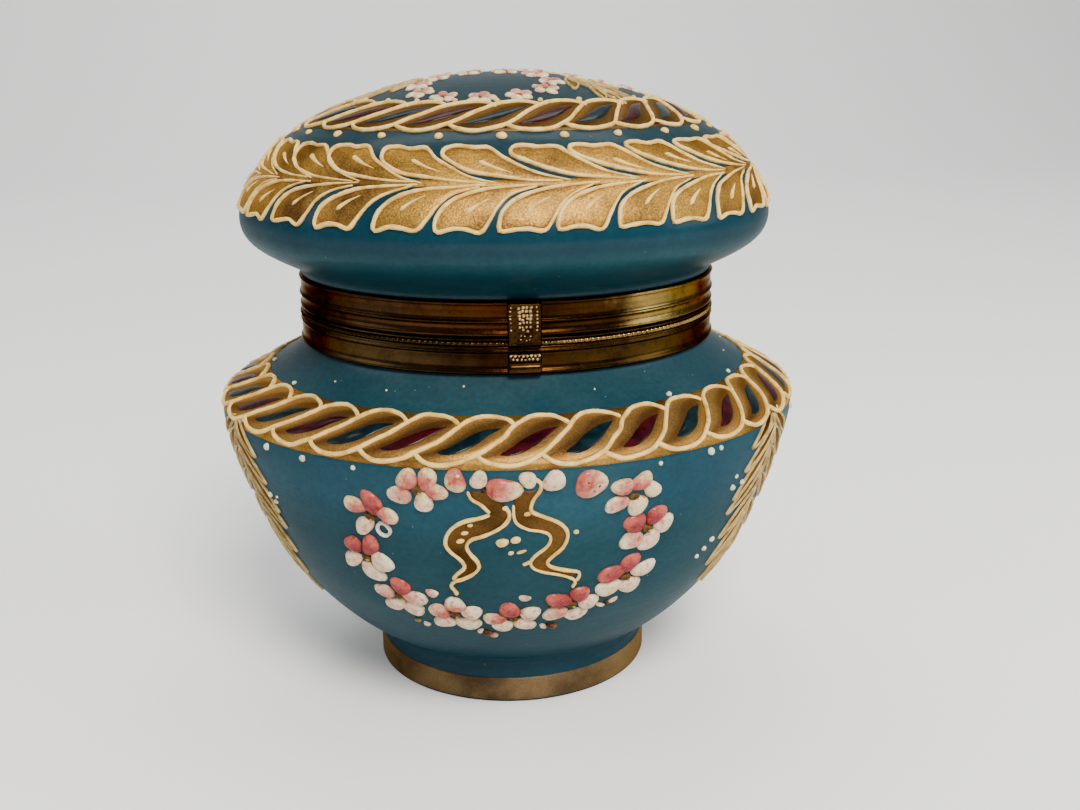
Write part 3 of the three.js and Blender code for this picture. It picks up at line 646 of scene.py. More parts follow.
# The colour at a petal's middle, then the one at its edge.
TINTS = {"pink": (PINK, CREAM_WHITE), "rose": (ROSE, PINK), "blush": (BLUSH, PETAL_WHITE),
         "cream": (CREAM_WHITE, PETAL_WHITE), "white": ((0.56, 0.41, 0.29), PETAL_WHITE),
         "tip": (PINK, PETAL_WHITE), "brown": (BROWN, (0.20, 0.065, 0.022)),
         "olive": (OLIVE, (0.25, 0.2, 0.06))}
EYE_DARK = (0.035, 0.018, 0.004), (0.10, 0.060, 0.010)
EYE_YELLOW = (0.40, 0.27, 0.04), (0.22, 0.13, 0.02)
# Each flower: its heart, then its petals as azimuth, along, half length, half width, turn, colour.
WREATH_FLOWERS = [
    ((-19.5, 28.2), [
        (-21.3, 25.9, 2.20, 1.75, -24, "pink"), (-17.6, 25.6, 2.05, 1.80, -81, "pink"),
        (-23.0, 29.5, 2.20, 1.85, 162, "blush"), (-16.1, 28.2, 1.95, 1.65, 36, "pink"),
        (-18.6, 30.9, 1.95, 1.80, 71, "cream")]),
    ((-29.5, 35.6), [
        (-28.4, 31.9, 2.75, 1.80, -126, "rose"), (-32.2, 33.0, 2.35, 1.70, -161, "pink"),
        (-25.6, 34.6, 2.05, 1.70, 40, "pink"), (-31.2, 38.1, 2.40, 1.70, 134, "white")]),
    ((-33.0, 46.5), [
        (-35.2, 43.4, 2.00, 1.80, -136, "rose"), (-31.1, 42.9, 2.55, 1.75, -55, "rose"),
        (-36.6, 47.8, 2.40, 1.65, 150, "white"), (-29.4, 47.3, 2.60, 2.05, 34, "white"),
        (-32.4, 50.6, 2.55, 2.05, 45, "white")]),
    ((-28.0, 56.6), [
        (-27.0, 53.3, 2.15, 1.95, -143, "rose"), (-31.6, 55.6, 1.95, 1.75, -176, "blush"),
        (-24.2, 56.4, 2.45, 1.75, 22, "blush"), (-30.0, 59.6, 2.35, 1.70, 150, "white"),
        (-25.6, 60.2, 2.45, 1.90, 47, "white")]),
    ((-16.5, 60.7), [
        (-16.0, 57.2, 2.15, 1.90, 180, "tip"), (-20.1, 60.0, 2.25, 1.90, -152, "pink"),
        (-12.5, 59.7, 2.10, 1.85, 15, "white"), (-19.6, 63.9, 2.20, 1.75, 160, "white"),
        (-13.8, 64.0, 2.40, 2.00, 24, "white")]),
    ((-3.8, 61.8), [
        (-4.6, 58.6, 2.10, 1.95, -169, "rose"), (-8.2, 61.7, 2.05, 1.75, 172, "pink"),
        (0.0, 60.0, 2.05, 1.85, -4, "white"), (-6.3, 64.6, 2.20, 1.60, 160, "cream"),
        (-1.2, 63.9, 2.20, 1.70, 17, "white")]),
    ((8.5, 58.1), [
        (5.4, 56.3, 2.40, 1.85, -158, "rose"), (10.0, 54.9, 2.05, 1.75, -16, "rose"),
        (12.4, 57.9, 2.10, 1.75, 0, "white"), (5.0, 60.7, 2.30, 2.00, 166, "blush"),
        (10.0, 61.6, 2.20, 1.80, -7, "white")]),
    ((19.5, 52.3), [
        (15.7, 50.4, 2.60, 2.05, 166, "rose"), (19.5, 47.9, 2.15, 1.95, -47, "rose"),
        (23.4, 50.5, 2.40, 1.90, -24, "white"), (15.7, 54.6, 2.45, 2.15, 155, "cream"),
        (20.8, 54.8, 2.30, 2.05, -16, "white")]),
    ((21.5, 39.8), [
        (18.5, 37.8, 2.40, 2.00, 161, "rose"), (22.9, 36.5, 2.10, 1.95, -32, "rose"),
        (25.2, 39.4, 2.05, 2.00, -4, "white"), (18.5, 42.2, 2.35, 2.10, 136, "blush"),
        (22.7, 43.2, 2.35, 2.10, -35, "white")]),
    ((17.6, 31.4), [
        (15.0, 28.6, 2.10, 1.70, 167, "pink"), (18.7, 27.9, 2.05, 1.80, -36, "pink"),
        (21.1, 30.2, 1.95, 1.55, 21, "cream"), (14.2, 32.6, 2.25, 1.60, 152, "blush"),
        (18.5, 33.7, 2.15, 1.90, -21, "cream")])]
# Lone blobs along the wreath, with the side to which the colour lightens.
WREATH_BLOBS = [(-13.0, 25.8, 2.35, 2.15, 96, "pink", 120), (-9.1, 25.5, 1.75, 1.75, 0, "white", 0),
                (-5.1, 27.6, 3.35, 2.65, 2, "pink", 40), (-1.1, 25.6, 1.72, 1.65, 8, "cream", 90),
                (3.2, 26.1, 2.35, 2.05, 6, "white", 0), (9.4, 27.3, 3.45, 2.85, 14, "pink", 20),
                (-20.4, 54.3, 1.50, 0.95, 23, "blush", 0), (-1.5, 55.0, 1.30, 0.72, 0, "white", 0),
                (18.0, 58.7, 1.30, 0.45, -28, "white", 0), (16.6, 59.1, 0.60, 0.50, 20, "brown", 0),
                (15.2, 59.6, 1.10, 0.45, 20, "cream", 0), (-26.4, 64.6, 0.85, 0.50, 16, "olive", 0),
                (-24.4, 65.8, 0.85, 0.62, 44, "white", 0),
                (-11.6, 66.9, 0.80, 0.55, -41, "white", 0),
                (-10.0, 67.7, 1.30, 0.90, 30, "brown", 0), (-8.6, 68.6, 1.00, 0.75, 26, "pink", 0),
                (3.0, 65.3, 0.90, 0.65, 36, "white", 0), (5.0, 65.4, 1.25, 0.90, 20, "brown", 0)]
BROWN_FLECKS = [(-8.3, 27.2, 0.42, 0.55), (8.7, 26.5, 0.42, 0.30), (10.6, 27.4, 0.36, 0.50),
                (9.8, 28.3, 0.40, 0.30)]
RING_PETAL = [(-27.3, 36.6), (-26.2, 37.4), (-26.0, 38.8), (-27.0, 39.8), (-28.2, 39.3),
              (-28.4, 37.8)]
PETAL_GROWTH, PETAL_CLOSER, PETAL_HEIGHT = 1.13, 0.06, 1.05
PETAL_AROUND, PETAL_UNEVEN = 18, 1.5
petals, hearts = [], []


def petal(chart, azimuth, along, half, turn, height, tint, towards, seed):
    """One thick drop of enamel that lightens towards one side, where the brush left it."""
    middle, edge = np.array(TINTS[tint][0]), np.array(TINTS[tint][1])
    places, faces, _ = enamel_drop(chart, azimuth, along, half, turn, height, (middle, edge), seed,
                                   PETAL_AROUND, PETAL_UNEVEN)
    centre = places[0]
    towards = math.radians(towards)
    aim = chart(azimuth + math.cos(towards), along + math.sin(towards)) - chart(azimuth, along)
    aim /= np.linalg.norm(aim)
    side = (places - centre) @ aim / max(half)
    apart = np.linalg.norm(places - centre, axis=1) / max(half)
    dabs = np.random.RandomState(seed % 9973).uniform(-0.30, 0.30, len(places))
    blend = np.clip(0.24 + 0.80 * side + 0.60 * (apart - 0.5) + dabs, 0, 1)[:, None]
    return places, faces, middle * (1 - blend) + edge * blend


def heart(chart, azimuth, along, size, seed):
    """The dark eye of a flower with a touch of yellow beside it."""
    per_mm = 180.0 / (math.pi * chart.radius(along))
    hearts.append(enamel_drop(chart, azimuth, along, (1.15 * size, 0.95 * size), 20, 0.62 * size,
                              EYE_DARK, seed, around=12))
    hearts.append(enamel_drop(chart, azimuth + 0.45 * per_mm, along + 0.35,
                              (0.50 * size, 0.30 * size), 40, 0.80 * size, EYE_YELLOW, seed + 1,
                              around=10))


def flower(chart, azimuth, along, turn, size, seed, reach=3.0, half=(2.3, 1.9)):
    """Five petals round a dark heart. The upper petals are pink, the lower ones white."""
    chance = random.Random(seed * 31 + 7)
    per_mm = 180.0 / (math.pi * chart.radius(along))
    for k in range(5):
        angle = math.radians(turn + 72 * k + chance.uniform(-7, 7))
        x, y = math.cos(angle) * reach * size, math.sin(angle) * reach * size
        tints = ("pink", "blush", "blush") if y < -0.1 * size else ("white", "cream", "cream")
        tint = chance.choice(tints)
        grow = chance.uniform(0.88, 1.1) * size
        outwards = math.degrees(angle)
        petals.append(petal(chart, azimuth + x * per_mm, along + y,
                            (half[0] * grow, half[1] * grow * chance.uniform(0.92, 1.08)),
                            outwards, 0.95 * size, tint, outwards, seed * 5 + k))
    heart(chart, azimuth, along, size, seed)


def wreath(turn, unsteady, chance):
    """The wreath of the front, turned round the bowl. Those at the back sit a little off."""
    for n, ((a0, s0), rows) in enumerate(WREATH_FLOWERS):
        da, ds = chance.uniform(-unsteady, unsteady), chance.uniform(-unsteady, unsteady)
        for k, (a, s, long, wide, angle, tint) in enumerate(rows):
            outwards = math.degrees(math.atan2(s - s0, a - a0))
            petals.append(petal(
                on_bowl, a + turn + da + (a0 - a) * PETAL_CLOSER, s + ds + (s0 - s) * PETAL_CLOSER,
                (long * PETAL_GROWTH, wide * PETAL_GROWTH), angle, PETAL_HEIGHT, tint, outwards,
                n * 5 + k + turn))
        heart(on_bowl, a0 + turn + da, s0 + ds, 1.0, n + turn)
    for n, (a, s, long, wide, angle, tint, towards) in enumerate(WREATH_BLOBS):
        height = min(1.15, 0.45 + wide * 0.32)
        petals.append(petal(on_bowl, a + turn, s, (long, wide), angle, height, tint, towards,
                            90 + n + turn))
    for n, (a, s, long, wide) in enumerate(BROWN_FLECKS):
        hearts.append(enamel_drop(on_bowl, a + turn, s, (long, wide), 30, 1.22, (BROWN, BROWN),
                                  130 + n, around=9))
    petals.append(enamel_drop(on_bowl, turn - 12.4, 24.6, (0.5, 0.42), 0, 1.35,
                              (PETAL_WHITE, PETAL_WHITE), 140, around=10))


chance = random.Random(77)
for turn in REPEATS:
    wreath(turn, 0.5 if turn else 0.0, chance)


def painted_enamel(name):
    """Enamel that takes its colour from the brush strokes painted on each petal."""
    material, nodes, links, shader = new_material(name)
    paint_and_shade = nodes.new("ShaderNodeAttribute")
    paint_and_shade.attribute_name = "paint_and_shade"
    streak = noise_node(nodes, links, 800.0, 4.0, 0.7)
    wash = ramp_node(nodes, links, streak, [
        (0.34, (0.66, 0.36, 0.32)), (0.47, (1.0, 0.92, 0.88)), (0.62, (1.15, 1.2, 1.2))])
    colour = blend_node(nodes, links, 1.0, paint_and_shade.outputs["Color"], wash, "MULTIPLY")
    links.new(colour, shader.inputs["Base Color"])
    set_inputs(shader, Roughness=0.32, IOR=1.10, Coat_Weight=0.06, Coat_IOR=2.4,
               Coat_Roughness=0.10)
    bump_node(nodes, links, noise_node(nodes, links, 1000.0, 3.0, 0.6), shader, 0.30, 0.0004)
    return material


petal_enamel = painted_enamel("petal_enamel")
ring_petals = [enamel_line(on_bowl, shifted(RING_PETAL, turn), 0.75, 0.6, closed=True, seed=turn)
               for turn in REPEATS]
petal_white = enamel("petal_white_enamel", (0.60, 0.55, 0.44), (0.50, 0.42, 0.30))
add_piece("bowl_wreath_petals", petals, [petal_enamel], "box")
add_piece("bowl_wreath_hearts", hearts, [petal_enamel], "box")
add_piece("bowl_wreath_rings", ring_petals, [petal_white], "box")

# Two ribbon streamers that hang from the top of the front wreath, fired on the bowl with it: a thin
# fill of brown gold inside trailed outlines of cream enamel, with a few loose dabs beside them.
LEFT_START = [(-11.0, 27.9), (-10.5, 29.5), (-9.0, 30.7), (-8.0, 32.0), (-7.5, 32.7)]
LEFT_OUTER = [(-7.5, 33.0), (-9.0, 33.8), (-12.0, 34.8), (-14.0, 36.3), (-15.3, 38.3),
              (-15.8, 40.6), (-15.0, 42.5), (-13.5, 44.2), (-12.8, 45.8), (-13.1, 46.9),
              (-14.4, 48.3), (-15.4, 49.8)]
LEFT_INNER = [(-4.9, 31.2), (-4.2, 33.2), (-5.0, 35.3), (-7.0, 37.1), (-9.2, 38.3), (-11.0, 39.1),
              (-12.0, 40.8), (-11.5, 42.7), (-10.4, 44.5), (-10.1, 46.2), (-11.0, 47.8),
              (-13.0, 49.3), (-15.0, 50.3), (-16.0, 51.6), (-15.6, 52.6), (-15.0, 54.1)]
RIGHT_OUTER = [(0.0, 25.4), (1.0, 26.4), (0.9, 27.9), (0.0, 29.4), (-0.6, 31.3), (-0.4, 32.6),
               (1.5, 33.8), (4.0, 35.3), (5.6, 37.2), (6.0, 39.2), (5.3, 41.7), (3.6, 43.7),
               (2.6, 45.2), (3.2, 46.4), (5.5, 47.5), (8.7, 48.5)]
RIGHT_INNER = [(-3.5, 30.9), (-3.5, 33.5), (-2.9, 35.3), (-1.0, 36.7), (1.0, 37.2), (2.5, 38.0),
               (3.0, 39.5), (2.3, 41.4), (0.5, 43.2), (-0.5, 45.0), (0.1, 46.7), (2.0, 47.8),
               (5.0, 48.8), (7.5, 50.1), (8.5, 51.3), (8.0, 52.9)]
streamer_lines = [
    enamel_line(on_bowl, LEFT_START, 0.70, 0.5, seed=1),
    enamel_line(on_bowl, LEFT_OUTER, 0.80, 0.55, seed=2),
    enamel_line(on_bowl, LEFT_INNER, 0.78, 0.55, seed=3, swell=0.2),
    enamel_line(on_bowl, RIGHT_OUTER, 0.75, 0.55, seed=4),
    enamel_line(on_bowl, RIGHT_INNER, 0.62, 0.5, seed=5),
    enamel_line(on_bowl, [(8.7, 48.4), (9.2, 49.6), (8.6, 51.2)], 0.65, 0.45, seed=6),
    enamel_line(on_bowl, [(-0.6, 44.9), (-1.5, 45.5), (-2.0, 45.6)], 0.7, 0.4, seed=7)]
left_fill = enamel_ribbon(on_bowl, LEFT_START + LEFT_OUTER[1:], [(-7.4, 28.0)] + LEFT_INNER[:12],
                          0.10, 0.09, 6, 60)
right_fill = enamel_ribbon(on_bowl, [(-3.4, 28.0)] + RIGHT_INNER[:14], RIGHT_OUTER[2:],
                           0.10, 0.09, 6, 60)
STREAMER_DROPS = [(-11.0, 35.6, 0.65, 0.4), (-12.1, 37.5, 0.8, 0.5), (-13.0, 39.5, 0.9, 0.6),
                  (-5.6, 39.8, 1.3, 0.95), (-3.2, 39.2, 1.0, 0.8), (-4.1, 42.5, 0.6, 0.45),
                  (-2.2, 42.3, 1.1, 0.35), (7.5, 38.1, 0.55, 0.5), (-4.9, 31.6, 0.6, 0.5),
                  (-1.2, 33.0, 0.8, 0.5)]
for n, (a, s, long, wide) in enumerate(STREAMER_DROPS):
    streamer_lines.append(enamel_drop(on_bowl, a, s, (long, wide), -20, wide * 0.9, seed=140 + n,
                                      around=12))
ribbon_gold = gilding("ribbon_gilding", (0.022, 0.010, 0.003), (0.115, 0.058, 0.017), 0.4)
add_piece("streamer_lines", streamer_lines, [cream], "box")
add_piece("streamer_gilding", [left_fill, right_fill], [ribbon_gold], "box")

# Three hanging sprays of long narrow leaves between the wreaths, fired on the bowl: each leaf is a
# patch of dull gold with a fine trailed outline of pale enamel, and white dots stand beside them.
PENDANTS = (54.5, -65.5, 174.5)
BLADE_LINE = 0.52
blade_lines, blade_grounds = [], []


def blade(chart, root, tip, width, seed, body_lines, body_grounds):
    """One narrow leaf from root to tip: two trailed lines that meet at the tip, over gilding."""
    root, tip = np.array(root, float), np.array(tip, float)
    per_mm = 180.0 / (math.pi * max(chart.radius((root[1] + tip[1]) / 2), 3.0))
    axis = np.array([(tip[0] - root[0]) / per_mm, tip[1] - root[1]])
    length = np.hypot(*axis)
    axis /= length
    across = np.array([-axis[1], axis[0]])
    sides = []
    for sign in (-1, 1):
        points = []
        for share, wide in ((0.0, 0.12), (0.18, 0.36), (0.42, 0.5), (0.68, 0.40), (0.88, 0.18),
                            (1.0, 0.03)):
            place = axis * length * share + across * (sign * width * wide)
            points.append((root[0] + place[0] * per_mm, root[1] + place[1]))
        sides.append(points)
        body_lines.append(enamel_line(chart, points, BLADE_LINE, 0.5, seed=seed * 2 + (sign > 0)))
    body_grounds.append(enamel_ribbon(chart, sides[0], sides[1], 0.15, 0.09, 4, 14))


BLADES = [(-1, 22.3, -9, 27.8, 2.4), (0.5, 22.5, 8.2, 28.8, 2.4), (0.3, 24.5, -9.3, 33.2, 3.0),
          (0, 25.5, 8.8, 35, 3.0), (-1, 29, -10.2, 39.9, 3.4), (1, 30.5, 9.4, 42, 3.4),
          (-1, 34.5, -10.8, 43.2, 2.8), (1, 37, 9.6, 46, 3.0), (0.4, 40, -9.6, 50, 3.4),
          (0, 43, 8.2, 53, 3.2), (0, 46, -9.2, 57.7, 3.2), (0, 48.5, 6.2, 60, 3.0),
          (-0.3, 52, -6.0, 64.5, 2.8), (-0.2, 54, 2.0, 68.2, 2.6)]
LEFT_DOTS = [(-12.0, 33.3, 0.5), (-9.0, 35.6, 0.7), (-12.2, 35.9, 0.75), (-12.6, 49.0, 0.7),
             (-14.2, 51.0, 0.65), (-15.8, 52.6, 0.6)]
RIGHT_DOTS = [(8.5, 37.6, 0.75), (10.0, 38.9, 0.6), (11.2, 37.4, 0.4)]
for p, centre in enumerate(PENDANTS):
    for n, (a0, s0, a1, s1, width) in enumerate(BLADES):
        blade(on_bowl, (centre + a0, s0), (centre + a1, s1), width, 300 + 20 * p + n,
              blade_lines, blade_grounds)
    stem = [(centre, 22.5), (centre + 0.3, 32), (centre, 44), (centre - 0.3, 56)]
    blade_lines.append(enamel_line(on_bowl, stem, 0.8, 0.45, seed=p))
    for side in (LEFT_DOTS, RIGHT_DOTS):
        for n, (a, s, half) in enumerate(side):
            bowl_dots.append(enamel_drop(on_bowl, centre + a, s, (half, half * 0.9), 0, half * 0.8,
                                         seed=n + p))
blade_gold = gilding("leaf_gilding", (0.030, 0.014, 0.004), (0.105, 0.054, 0.015), 0.4)
pale_line = enamel("pale_enamel", (0.42, 0.30, 0.115), (0.27, 0.165, 0.052))
add_piece("pendant_leaf_lines", blade_lines, [pale_line], "box")
add_piece("pendant_leaf_gilding", blade_grounds, [blade_gold], "box")
add_piece("bowl_enamel_dots", bowl_dots, [white], "box")

# Gilded band round the foot, brushed on the glass and fired, and worn to brown in places. It is one
# thin closed ring that covers the foot's outer face.
FOOT_GOLD_START, FOOT_GOLD_END, FOOT_GOLD_LIFT = 95.6, 100.9, 0.09
foot_gold = gilding("foot_gilding", (0.062, 0.038, 0.020), (0.175, 0.115, 0.055), 0.25)
foot_ring = enamel_band(on_bowl, FOOT_GOLD_START, FOOT_GOLD_END, FOOT_GOLD_LIFT, 16)
add_piece("foot_gilding", [foot_ring], [foot_gold], "box")

# Brass collar on the bowl's rim, spun from sheet, with a row of fine beads just under the seam and
# two bright drawn edges. It is set on the glass with plaster.
COLLAR_INNER = 45.5
BOWL_COLLAR = [(45.6, 79.75), (46.7, 79.62), (47.15, 79.80), (47.22, 80.15), (46.98, 80.50),
               (46.72, 80.75), (46.78, 81.6), (46.82, 82.6), (46.74, 83.5), (46.72, 83.9),
               (46.98, 84.10), (47.06, 84.32), (46.92, 84.55), (46.70, 84.68), (46.88, 84.86),
               (46.92, 85.02), (46.72, 85.20), (46.55, 85.32), (46.55, 86.28), (46.72, 86.38),
               (46.88, 86.52), (46.86, 86.72), (46.60, 86.85), (42.2, 86.85), (41.9, 86.6),
               (41.9, 86.2), (42.3, 86.12), (45.2, 86.12), (COLLAR_INNER, 85.9),
               (COLLAR_INNER, 80.0)]


def aged_brass(name, side_light_stops, wear=0.35, dull=0.0):
    """Old brass with a brown patina. Its colour stops run from the left end, 0, to the right, 1,
    and paint light and shade.
    """
    material, nodes, links, shader = new_material(name)
    patch = noise_node(nodes, links, 42.0, 5.0, 0.62)
    fine = noise_node(nodes, links, 1400.0, 3.0, 0.65)
    # Along the piece's own x axis, from its left end to its right: painted highlights and painted
    # shade, blurred by the patina patches.
    across = range_node(nodes, links, own_axis(nodes, links, "X"), (-0.047, 0.047), (-0.16, 0.84))
    place = nodes.new("ShaderNodeMath")
    place.operation = "MULTIPLY_ADD"
    links.new(patch, place.inputs[0])
    place.inputs[1].default_value = 0.32
    links.new(across, place.inputs[2])
    patina_and_side_light = ramp_node(nodes, links, place.outputs[0], side_light_stops)
    spots = ramp_node(nodes, links, noise_node(nodes, links, 150.0, 5.0, 0.7), [
        (0.36, (0.35, 0.28, 0.22)), (0.50, (1.0, 1.0, 1.0)), (0.62, (1.2, 1.15, 1.1)),
        (0.70, (1.9, 1.9, 1.8))])
    colour = blend_node(nodes, links, wear * 2, patina_and_side_light, spots, "MULTIPLY")
    links.new(colour, shader.inputs["Base Color"])
    set_inputs(shader, Metallic=1.0, Specular_Tint=(0.34, 0.26, 0.17, 1))
    rough = range_node(nodes, links, fine, (0.3, 0.7), (0.17 + dull, 0.30 + dull))
    links.new(rough, shader.inputs["Roughness"])
    bump_node(nodes, links, fine, shader, 0.10, 0.0003)
    return material


def bead_row(radius, height, size, count, squash=1.0):
    """A row of small beads stamped round a collar, joined into one ring."""
    steps, rows = 8, 7
    n = count * steps
    places = []
    for i in range(rows):
        angle = math.pi * (i / (rows - 1) - 0.5)
        for k in range(n):
            turn = 2 * math.pi * k / n
            swell = math.sqrt(1 - (((k % steps) / steps - 0.5) * 1.9) ** 2)
            reach = radius + size * math.cos(angle) * swell
            z = height + size * squash * math.sin(angle) * (0.55 + 0.45 * swell)
            places.append((reach * math.sin(turn), -reach * math.cos(turn), z))
    for z in (height + size * squash * 0.6, height - size * squash * 0.6):
        for k in range(n):
            turn = 2 * math.pi * k / n
            places.append(((radius - 0.25) * math.sin(turn), -(radius - 0.25) * math.cos(turn), z))
    return places, grid_faces(rows + 2, n, True)


# These stops paint shade on the collar's front and a highlight towards its right end.
collar_brass = aged_brass("bowl_collar_brass", [
    (0.0, (0.045, 0.028, 0.014)), (0.20, (0.050, 0.030, 0.011)), (0.40, (0.018, 0.006, 0.0014)),
    (0.55, (0.025, 0.010, 0.002)), (0.72, (0.040, 0.021, 0.005)), (0.90, (0.060, 0.037, 0.011)),
    (1.0, (0.022, 0.013, 0.005))])
bowl_collar = add_piece("bowl_collar_ring", [turned(BOWL_COLLAR)], [collar_brass], "box")
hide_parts("bowl_collar")
BEADS = 240
# Painted shade on the left of the bead row and painted highlights towards the right, over real wear
# spots.
bead_brass = aged_brass("bead_brass_wear_and_painted_light", [
    (0.0, (0.020, 0.010, 0.003)), (0.45, (0.045, 0.022, 0.006)), (0.60, (0.17, 0.095, 0.030)),
    (0.90, (0.30, 0.19, 0.065)), (1.0, (0.12, 0.07, 0.025))])
add_piece("bowl_collar_beads", [bead_row(46.60, 85.72, 0.52, BEADS)], [bead_brass], "box")

# The catch: a small brass plate soldered on the bowl's collar, at the front. It has a ledge of
# rubbed milled grains along its top and a plain stepped face below.
CLASP_HALF = 3.3
CATCH_LOW, CATCH_HIGH, CATCH_FRONT = 79.8, 84.2, 48.2
LEDGE_LOW, LEDGE_TALL, STEP_TOP = 82.2, 1.9, 81.6


def chased_plate(half_width, low, high, front, thickness, relief):
    """A small brass plate that bends with the collar. A relief function raises its face."""
    across, rows = 40, max(8, int((high - low) * 6))
    places = []
    for layer in range(2):
        for i in range(rows + 1):
            z = low + (high - low) * i / rows
            for k in range(across + 1):
                x = -half_width + 2 * half_width * k / across
                edge = min(half_width - abs(x), z - low, high - z)
                roll = 0.35 * (1 - min(1.0, edge / 0.45)) ** 2
                y = math.sqrt(front * front - x * x)
                y = y - thickness if layer else y - roll + relief(x, z, edge)
                places.append((x, -y, z))
    return places, slab_faces(rows + 1, across + 1)


def domed_faces(turns):
    """Faces of a small dome: four rings of points, a tip and a flat back."""
    tip = 4 * turns
    faces = grid_faces(4, turns)
    faces += [(tip - turns + k, tip - turns + (k + 1) % turns, tip) for k in range(turns)]
    return faces + [tuple(range(turns))[::-1]]


def pearl(x, z, radius, reach):
    """One small domed grain on the clasp, centred on the plate's face."""
    places, turns = [], 10
    y = math.sqrt(reach * reach - x * x)
    for share, rise in ((1.0, -0.35), (0.96, 0.20), (0.70, 0.62), (0.38, 0.88)):
        for k in range(turns):
            a = 2 * math.pi * k / turns
            places.append((x + radius * share * math.sin(a), -(y + radius * rise),
                           z + radius * share * math.cos(a)))
    places.append((x, -(y + radius), z))
    return places, domed_faces(turns)


def catch_relief(x, z, edge):
    """A milled ledge of small upright beads along the top, and a plain stepped face below."""
    if z > LEDGE_LOW:
        grain = abs(math.sin(math.pi * (x + CLASP_HALF) / 0.94))
        crown = math.sin(math.pi * min(1.0, (z - LEDGE_LOW) / LEDGE_TALL))
        return 0.30 * crown * (0.45 + 0.55 * grain)
    if z > STEP_TOP:
        return -0.15
    return 0.12 * math.sin(math.pi * (z - CATCH_LOW) / 1.8)


chased_brass = aged_brass("chased_clasp_brass",
                          [(0.40, (0.022, 0.010, 0.003)), (0.60, (0.045, 0.020, 0.005))], 0.5)
pearl_brass = aged_brass("rubbed_pearl_brass",
                         [(0.40, (0.42, 0.29, 0.15)), (0.60, (0.60, 0.44, 0.24))], 0.3, 0.25)
catch_face = chased_plate(CLASP_HALF, CATCH_LOW, CATCH_HIGH, CATCH_FRONT, 1.25, catch_relief)
catch_plate = add_piece("catch_plate", [catch_face], [chased_brass], "box")
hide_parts("clasp_catch")
chance = random.Random(43)
ledge_pearls = []
for z, count in ((83.55, 8), (82.95, 7)):
    for k in range(count):
        x = (k - (count - 1) / 2) * 0.78 + chance.uniform(-0.06, 0.06)
        ledge_pearls.append(pearl(x, z + chance.uniform(-0.06, 0.06), chance.uniform(0.32, 0.42),
                                  48.15))
add_piece("catch_ledge_pearls", ledge_pearls, [pearl_brass], "box")

# Hinge at the back, in brass. Its lower leaf follows the bowl's collar, is soldered and riveted to
# it, and carries the two outer knuckles.
HINGE_Y, KNUCKLE_R, BORE_R, PIN_R, HINGE_HALF, MIDDLE_HALF = 49.2, 1.9, 1.1, 0.8, 11.0, 3.5


def knuckle_barrel(start, end):
    """A rolled knuckle with rounded ends and an open bore, along the x axis."""
    line = [(BORE_R, start), (KNUCKLE_R - 0.25, start), (KNUCKLE_R, start + 0.25),
            (KNUCKLE_R, end - 0.25), (KNUCKLE_R - 0.25, end), (BORE_R, end)]
    places, turns = [], 40
    for r, x in line:
        for k in range(turns):
            a = 2 * math.pi * k / turns
            places.append((x, HINGE_Y + r * math.cos(a), SEAM_Z + r * math.sin(a)))
    return places, grid_faces(len(line), turns, True, flip=True)


def hinge_plate(half_width, low, high, inner=46.95, thickness=0.7):
    """A thin plate that follows the back of the collar."""
    across = 24
    outer = [(inner, low), (inner + thickness - 0.15, low), (inner + thickness, low + 0.15),
             (inner + thickness, high - 0.15), (inner + thickness - 0.15, high), (inner, high)]
    places = []
    for k in range(across + 1):
        x = -half_width + 2 * half_width * k / across
        for r, z in outer:
            places.append((x, math.sqrt(r * r - x * x), z))
    m = len(outer)
    faces = grid_faces(across + 1, m)
    faces.append(tuple(range(m))[::-1])
    faces.append(tuple(across * m + i for i in range(m)))
    return places, faces


def rivet(x, z, radius=0.75, reach=47.65):
    """A flat domed rivet head on the hinge plate."""
    places, turns = [], 18
    y = math.sqrt(reach * reach - x * x)
    for share, rise in ((1.0, -0.2), (1.0, 0.12), (0.85, 0.26), (0.5, 0.36)):
        for k in range(turns):
            a = 2 * math.pi * k / turns
            places.append((x + radius * share * math.cos(a), y + rise,
                           z + radius * share * math.sin(a)))
    places.append((x, y + 0.4, z))
    return places, [face[::-1] for face in domed_faces(turns)]


RIVETS = (-8.0, 0.0, 8.0)
hinge_brass = aged_brass("hinge_brass", [(0.2, (0.045, 0.020, 0.006)), (0.8, (0.11, 0.062, 0.018))])
lower_leaf = [hinge_plate(HINGE_HALF, 80.3, SEAM_Z - 2.1)]
for start, end in ((-HINGE_HALF, -MIDDLE_HALF - 0.3), (MIDDLE_HALF + 0.3, HINGE_HALF)):
    lower_leaf.append(knuckle_barrel(start, end))
for x in RIVETS:
    lower_leaf.append(rivet(x, 82.0))
hinge_lower = add_piece("hinge_lower_leaf", lower_leaf, [hinge_brass], "box",
                        smooth=False)
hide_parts("hinge_bowl_leaf")

# The hinge pin, a drawn brass wire through the three knuckles with a small upset head at each end.
# It stays with the lower leaf when the lid turns.
pin_line = [(0, -11.45), (PIN_R + 0.3, -11.4), (PIN_R + 0.35, -11.15), (PIN_R, -11.05),
            (PIN_R, 11.05), (PIN_R + 0.35, 11.15), (PIN_R + 0.3, 11.4), (0, 11.45)]
pin_places, pin_faces = turned(pin_line, 28, closed=False)
pin_places = [(z, HINGE_Y + y, SEAM_Z + x) for x, y, z in pin_places]
hinge_pin = add_piece("hinge_pin_wire", [(pin_places, pin_faces)], [hinge_brass], "box")
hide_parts("hinge_pin")

